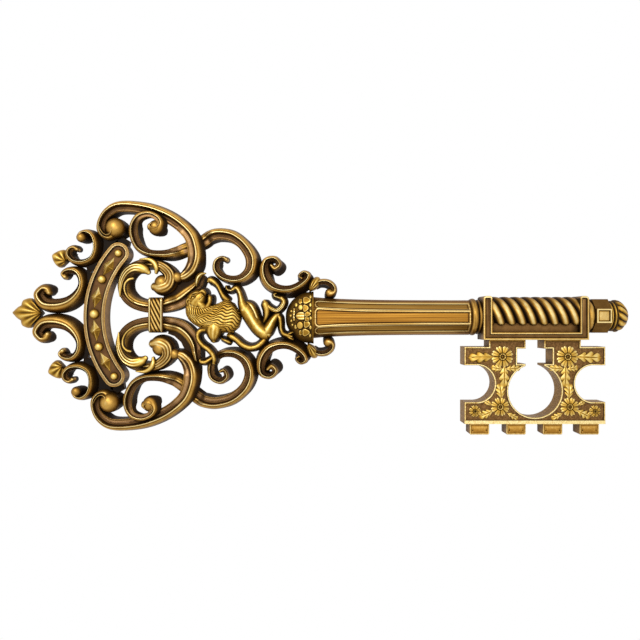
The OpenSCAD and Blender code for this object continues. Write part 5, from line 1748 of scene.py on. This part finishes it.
    def _barrel(self) -> None:
        """Builds the rope-twist barrel."""
        start, length, steps = self.frame_x + 9.2, 86.6, 260
        stations = [(mix(start, start + length, k / steps), self.barrel_r, 0.95)
                    for k in range(steps + 1)]
        barrel = Casting("rope_barrel", ANTIQUE)
        barrel.lathe(stations, self.barrel_z, self.axis_h, self._twist, around=150)
        self.keep(barrel, relief=0.25)

    def _end_ring(self) -> None:
        """Builds the ring at the frame's right end."""
        x = self.frame_x + self.frame_length
        ring = Casting("end_ring", ANTIQUE)
        ring.lathe([(x, 3.4, 0.1), (x, 14.2, 0.15), (x + 0.6, 15.4, 0.3), (x + 1.8, 16.2, 0.5),
                    (x + 3.2, 16.6, 0.6), (x + 4.2, 16.6, 0.6), (x + 5.6, 16.2, 0.45),
                    (x + 6.7, 15.2, 0.2), (x + 7.2, 14.4, 0.1), (x + 7.2, 3.4, 0.1)],
                   self.nut_z, self.axis_h)
        self.keep(ring)

    def _nut(self, x: float) -> None:
        """Builds the eight-sided block with a bordered tablet on its front.

        Args:
            x: Its left end along the key.
        """
        z, flat, length = self.nut_z, 17.0, 16.0
        corner = flat * math.tan(math.radians(22.5))
        side, front = self.axis_h + corner, self.axis_h + flat
        nut = Casting("nut_block", DEEP)
        nut.prism([(z - flat, 0.0), (z - flat, side), (z - corner, front - 2),
                   (z + corner, front - 2), (z + flat, side), (z + flat, 0.0)],
                  x, x + length, 0.17, 0.1)
        half = corner + 0.1
        nut.plate([(x + 0.5, z - half), (x + length - 0.5, z - half),
                   (x + length - 0.5, z + half), (x + 0.5, z + half)], front, [
                       (0.9, 0.0, 0.95, 0.0), (0.5, 0.0, 0.6, 0.0), (0.35, -0.9, 0.15, 0.0),
                       (0.4, 0.15, 0.5, 0.0), (0.7, 0.1, 0.66, 0.0)], foot=18.0)
        self.keep(nut, sharp=25)

    def _knob(self, x: float) -> None:
        """Builds the knob with its neck bead and its twisted gadroons.

        Args:
            x: Its left end along the key.
        """
        radius, length, gadroons, neck = 16.5, 22.2, 13, 0.3
        shape = [
            (0.0, 0.2, 0.1), (0.0, 0.78, 0.2), (0.03, 0.86, 0.5), (0.08, 0.9, 0.7),
            (0.13, 0.86, 0.45), (0.16, 0.84, 0.15), (0.19, 0.9, 0.5), (0.23, 0.94, 0.6),
            (0.27, 0.9, 0.3), (0.29, 0.9, 0.12), (0.33, 0.96, 0.6), (0.38, 0.99, 0.8),
            (0.46, 1.0, 0.9), (0.55, 0.97, 0.9), (0.64, 0.91, 0.9), (0.72, 0.83, 0.85),
            (0.8, 0.72, 0.8), (0.87, 0.6, 0.75), (0.92, 0.48, 0.7), (0.96, 0.35, 0.7),
            (0.985, 0.22, 0.7), (1.0, 0.04, 0.6)]
        route = curve([(a * length, b * radius, c) for a, b, c in shape], 4)

        def gadroon(place: float, a: float) -> Point:
            """Shapes the gadroons.

            Args:
                place: Place along the key.
                a: Angle round the knob.

            Returns:
                Radius and wear to add there.
            """
            share = (place - x) / length
            if share < neck:
                return 0.0, 0.0
            reach = ease((share - neck) / 0.06) * ease((1 - share) / 0.3)
            lobe = abs(math.sin(math.pi * (gadroons * a / (2 * math.pi) - 1.7 * share)))
            return -1.6 * reach * (1 - lobe ** 0.7), -0.18 - 0.66 * reach * (1 - lobe)

        knob = Casting("knob", PALE)
        knob.lathe([(x + a, max(0.3, b), c) for a, b, c in route], self.nut_z, self.axis_h,
                   gadroon, around=140)
        self.keep(knob)


# Leaves on one side of the bit: root from the bit's middle, direction, length and width.
SPRAYS = [
    (43, -39.4, -2, 22, 10.6), (30.6, -49.6, -90, 19, 9.4), (28.4, -51.4, 176, 13, 7),
    (33, -51.6, 8, 9.6, 6.6), (33.8, -80.2, 86, 12.6, 9), (42.8, -93.6, -26, 13, 8),
    (43.4, -87.4, 28, 7, 5), (27, -96, 209, 11, 6), (53, -97, 30, 5, 4.4)]
# Flowers on one side of the bit: middle and radius.
FLOWERS = [(32.6, -39.2, 11.6), (34.8, -89.4, 10.0), (60, -93.8, 6.4)]


@dataclass
class Bit(Assembly):
    """The flat bit with its rim, flowers, leaves and teeth.

    Args:
        x: Its middle along the key.
        depth: Height of its rim above the wall.
        sink: Depth of its ground below the rim.
        foot: Height of its lower edge up the key.
        tooth_pitch: Distance between the middles of neighbouring teeth.
        tooth_half: Half the width of a tooth.
        tooth_length: Length of a tooth.
    """

    x: float = 215.0
    depth: float = 18.0
    sink: float = 1.2
    foot: float = -106.5
    tooth_pitch: float = 36.7
    tooth_half: float = 9.8
    tooth_length: float = 11.0

    def _outline(self) -> list[Point]:
        """Draws the outline of the plate.

        Returns:
            Its corners with notches and keyhole, round the plate once.
        """
        side = [
            (46, -22.3), (46, -29.3), (70.5, -29.3), (70.5, -47.8), (58.6, -47.8),
            *arc(58.6, -66.2, 18.4, 90, 270, 40)[1:], (70.5, -84.6), (70.5, self.foot)]
        key = [(9.2, -22.3), (9.2, -31.2), (17.65, -31.2), (17.65, -46.4), (9.2, -46.4),
               *arc(0, -73.5, 26.6, 69.77, -90, 40)]
        whole = [*side[::-1], *key]
        points = [*whole[:-1], *[(-x, z) for x, z in whole[::-1]]]
        return [(self.x + x, z) for x, z in points]

    def build(self) -> None:
        """Builds the plate, its teeth and its ornament."""
        plate = Casting("bit_plate", STIPPLED)
        plate.plate(self._outline(), self.depth, [
            (0.95, 0.0, 0.95, 0.0), (0.12, -0.8, 0.15, 0.3), (0.2, -0.1, 0.14, 0.6),
            (0.15, 0.1, 0.5, 0.4), (0.1, 0.0, 0.46, 0.7)], wall=0.38)
        rim = self.depth + 0.2
        plate.prism([(self.foot, 16.0), (self.foot, rim), (self.foot + 3.4, rim),
                     (self.foot + 3.8, 16.0)], self.x - 70.4, self.x + 70.4, 0.84)
        self.keep(plate, relief=0.3, sharp=30)
        teeth = Casting("bit_teeth", TOOTH)
        for place in FOUR:
            x, half = self.x + place * self.tooth_pitch, self.tooth_half
            low = self.foot - self.tooth_length
            teeth.plate([(x - half, self.foot), (x - half, low + 1), (x - half + 1, low),
                         (x + half - 1, low), (x + half, low + 1), (x + half, self.foot)],
                        16.5, [(0.7, 0.0, 0.95, 0.0), (0.3, -0.15, 0.5, 0.3),
                               (0.6, 0.0, 0.66, 0.5), (1.4, 0.05, 0.74, 0.5)],
                        foot=1.5, wall=0.14)
        self.keep(teeth, relief=0.3, sharp=30)
        flowers = Casting("bit_flowers", PALE)
        leaves = Casting("bit_leaves", PALE)
        for side in SIDES:
            for x, z, radius in FLOWERS:
                self._flower(flowers, self.x + side * x, z, radius)
            for x, z, turn, length, width in SPRAYS:
                angle = math.radians(turn if side > 0 else 180 - turn)
                self._leaf(leaves, self.x + side * x, z, angle, length, width)
        self.keep(flowers)
        self.keep(leaves)

    def _flower(self, piece: Casting, x: float, z: float, radius: float) -> None:
        """Adds a flower of eight notched petals with a ringed centre.

        Args:
            piece: Casting of the flowers.
            x: Its middle along the key.
            z: Its middle up the key.
            radius: Its radius.
        """
        around, rows, petals = 192, 22, 8
        ground = self.depth - self.sink
        rings = []
        for i in range(rows + 1):
            t = i / rows
            core, seed, valley = bump(t, 0.25, 0.08), bump(t, 0.13, 0.1), bump(t, 0.34, 0.08)
            ring: Ring = []
            for j in range(around):
                a = 2 * math.pi * j / around
                c = ((petals * a / (2 * math.pi)) % 1.0) * 2 - 1
                edge = radius * (0.58 + 0.44 * math.sqrt(1 - c * c))
                edge *= 1 - 0.12 * math.exp(-(c / 0.22) ** 2)
                gap = abs(c) ** 9
                if t > 0.97:
                    h, wear_and_shade = 0.0, 0.2
                else:
                    h = 2.0 * math.sin(math.pi * (0.2 + 0.68 * t)) * (1 - 0.8 * gap * ease(t / 0.4))
                    h -= 0.3 * math.exp(-(c / 0.12) ** 2) * t
                    wear_and_shade = 0.46 + 0.36 * t - 0.6 * gap * ease((t - 0.2) / 0.4)
                    wear_and_shade += 0.1 * core - 0.3 * valley - 0.12 * seed
                h += 0.7 * core - 0.1 * seed + 0.6 * bump(t, 0.0, 0.1)
                at = spot(x + edge * t * math.cos(a), z + edge * t * math.sin(a),
                          ground + max(0.0, h))
                ring.append((at, clamp01(wear_and_shade), 0.0))
            rings.append(ring)
        piece.sheet(rings)

    def _leaf(self, piece: Casting, x: float, z: float, angle: float, length: float,
              width: float) -> None:
        """Adds a toothed leaf with a sunk middle vein.

        Args:
            piece: Casting of the leaves.
            x: Its root along the key.
            z: Its root up the key.
            angle: Its direction in radians.
            length: Its length.
            width: Its width.
        """
        rows, across, teeth = 72, 24, 3
        ground = self.depth - self.sink
        way = Vector((math.cos(angle), math.sin(angle)))
        left = Vector((-way.y, way.x))
        rings = []
        for i in range(rows + 1):
            t = i / rows
            lobe = math.sin(math.pi * ((teeth * t + 0.1) % 1.0) ** 1.3) ** 0.6
            half = width / 2 * math.sin(math.pi * min(1.0, t * 0.92 + 0.07)) ** 0.5
            half *= 0.56 + 0.62 * lobe
            ring: Ring = []
            for j in range(across + 1):
                v = 2 * j / across - 1
                at = way * (length * t + 0.5 * width * (abs(v) - 0.5)) + left * (half * v)
                vein = math.exp(-(v / 0.14) ** 2)
                h = 1.9 * math.sqrt(max(0.0, 1 - v * v)) * math.sin(math.pi * (0.14 + 0.74 * t))
                wear_and_shade = 0.86 - 0.3 * abs(v) ** 4 - 0.3 * vein - 0.5 * (1 - lobe) * abs(v)
                ring.append((spot(x + at.x, z + at.y, ground + max(0.0, h - 0.3 * vein)),
                             clamp01(wear_and_shade), 0.0))
            rings.append(ring)
        piece.sheet(rings)


@dataclass
class Studio:
    """Camera, light, floor and backdrop.

    Args:
        eye: Place of the camera, in metres.
        lens: Its focal length on a sensor 36 mm wide.
        floor_z: Height of the floor, in metres.
        floor_radius: Radius of the floor, in metres.
        floor_grey: Brightness of the floor's colour.
        soft: Strength of the world's light on the key.
        bright: Strength of the white that the eye and the metal see.
    """

    eye: Station = (0.0, -0.581, -0.0025)
    lens: float = 31.67
    floor_z: float = -0.62
    floor_radius: float = 0.4
    floor_grey: float = 0.92
    soft: float = 0.45
    bright: float = 1.0

    def build(self) -> None:
        """Sets the whole stage."""
        scene = bpy.context.scene
        scene.view_settings.view_transform = "Standard"
        data = bpy.data.cameras.new("camera")
        data.lens = self.lens
        data.sensor_width = 36.0
        data.clip_start = 0.01
        camera = bpy.data.objects.new("camera", data)
        camera.location = self.eye
        camera.rotation_euler = (math.radians(90), 0, 0)
        scene.collection.objects.link(camera)
        scene.camera = camera
        self._lamp("key_light", (-0.45, -1.0, 0.65), 0.6, 6.0)
        self._lamp("front_light", (0.1, -1.2, 0.15), 0.8, 3.0)
        self._world()
        self._floor()

    @staticmethod
    def _lamp(name: str, at: Row, size: float, power: float) -> None:
        """Adds a square soft light that looks at the middle of the key.

        Args:
            name: Name of the light.
            at: Its place, in metres.
            size: Its width, in metres.
            power: Its power, in watts.
        """
        data = bpy.data.lights.new(name, "AREA")
        data.shape = "SQUARE"
        data.size = size
        data.energy = power
        lamp = bpy.data.objects.new(name, data)
        lamp.location = at
        lamp.rotation_euler = (-Vector(at)).to_track_quat("-Z", "Y").to_euler()
        bpy.context.scene.collection.objects.link(lamp)

    def _world(self) -> None:
        """Makes the backdrop white to the eye and a softer light on the key."""
        world = bpy.data.worlds.new("studio")
        world.use_nodes = True
        bpy.context.scene.world = world
        graph = Graph(world.node_tree)
        soft, white = (
            graph.node("Background", {"Color": (1, 1, 1, 1), "Strength": strength})
            for strength in (self.soft, self.bright))
        rays = graph.node("LightPath").outputs
        seen = graph.maths("ADD", rays["Is Camera Ray"], rays["Is Glossy Ray"], clamp=True)
        seen = graph.maths("ADD", seen, rays["Is Transmission Ray"], clamp=True)
        blend = graph.node("MixShader", {"Fac": seen, 1: soft.outputs["Background"],
                                         2: white.outputs["Background"]})
        graph.node("OutputWorld", {"Surface": blend.outputs["Shader"]})

    def _floor(self) -> None:
        """Adds a pale round floor well below the key."""
        mesh = bmesh.new()
        bmesh.ops.create_circle(mesh, cap_ends=True, segments=96, radius=self.floor_radius)
        for vert in mesh.verts:
            vert.co.z = self.floor_z
        data = bpy.data.meshes.new("floor")
        mesh.to_mesh(data)
        mesh.free()
        made = bpy.data.materials.new("pale_floor")
        made.use_nodes = True
        shader = made.node_tree.nodes["Principled BSDF"]
        shader.inputs["Base Color"].default_value = (*[self.floor_grey] * 3, 1)
        shader.inputs["Roughness"].default_value = 0.9
        data.materials.append(made)
        floor = bpy.data.objects.new("floor", data)
        bpy.context.scene.collection.objects.link(floor)


STEEL_NODES = ("knob_stud", "hanger_plate", "hanger_screws", "hanger_ring")


def dress_nodes(frame: dict, foundry: Foundry) -> None:
    """Gives the CAD nodes that stay their procedural finish.

    Args:
        foundry: Maker of materials.
    """
    for name, node in frame["nodes"].items():
        if node.hide_render:
            continue
        finish = STEEL if name in STEEL_NODES else ANTIQUE
        for place in node.material_slots:
            place.material = foundry.material(finish)
        LOG.info("%s: CAD node in %s", name, finish.name)


def main() -> None:
    """Builds the scene and reports each piece."""
    logging.basicConfig(level=logging.INFO)
    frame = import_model()
    foundry = Foundry()
    for made in (Bow, Band, Clasp, Lion, Shaft, Bit):
        assembly = made(foundry)
        assembly.build()
        for piece in assembly.pieces:
            LOG.info("%s: %d faces", piece.name, len(piece.data.polygons))
    dress_nodes(frame, foundry)
    Studio().build()


if __name__ == "__main__":
    main()
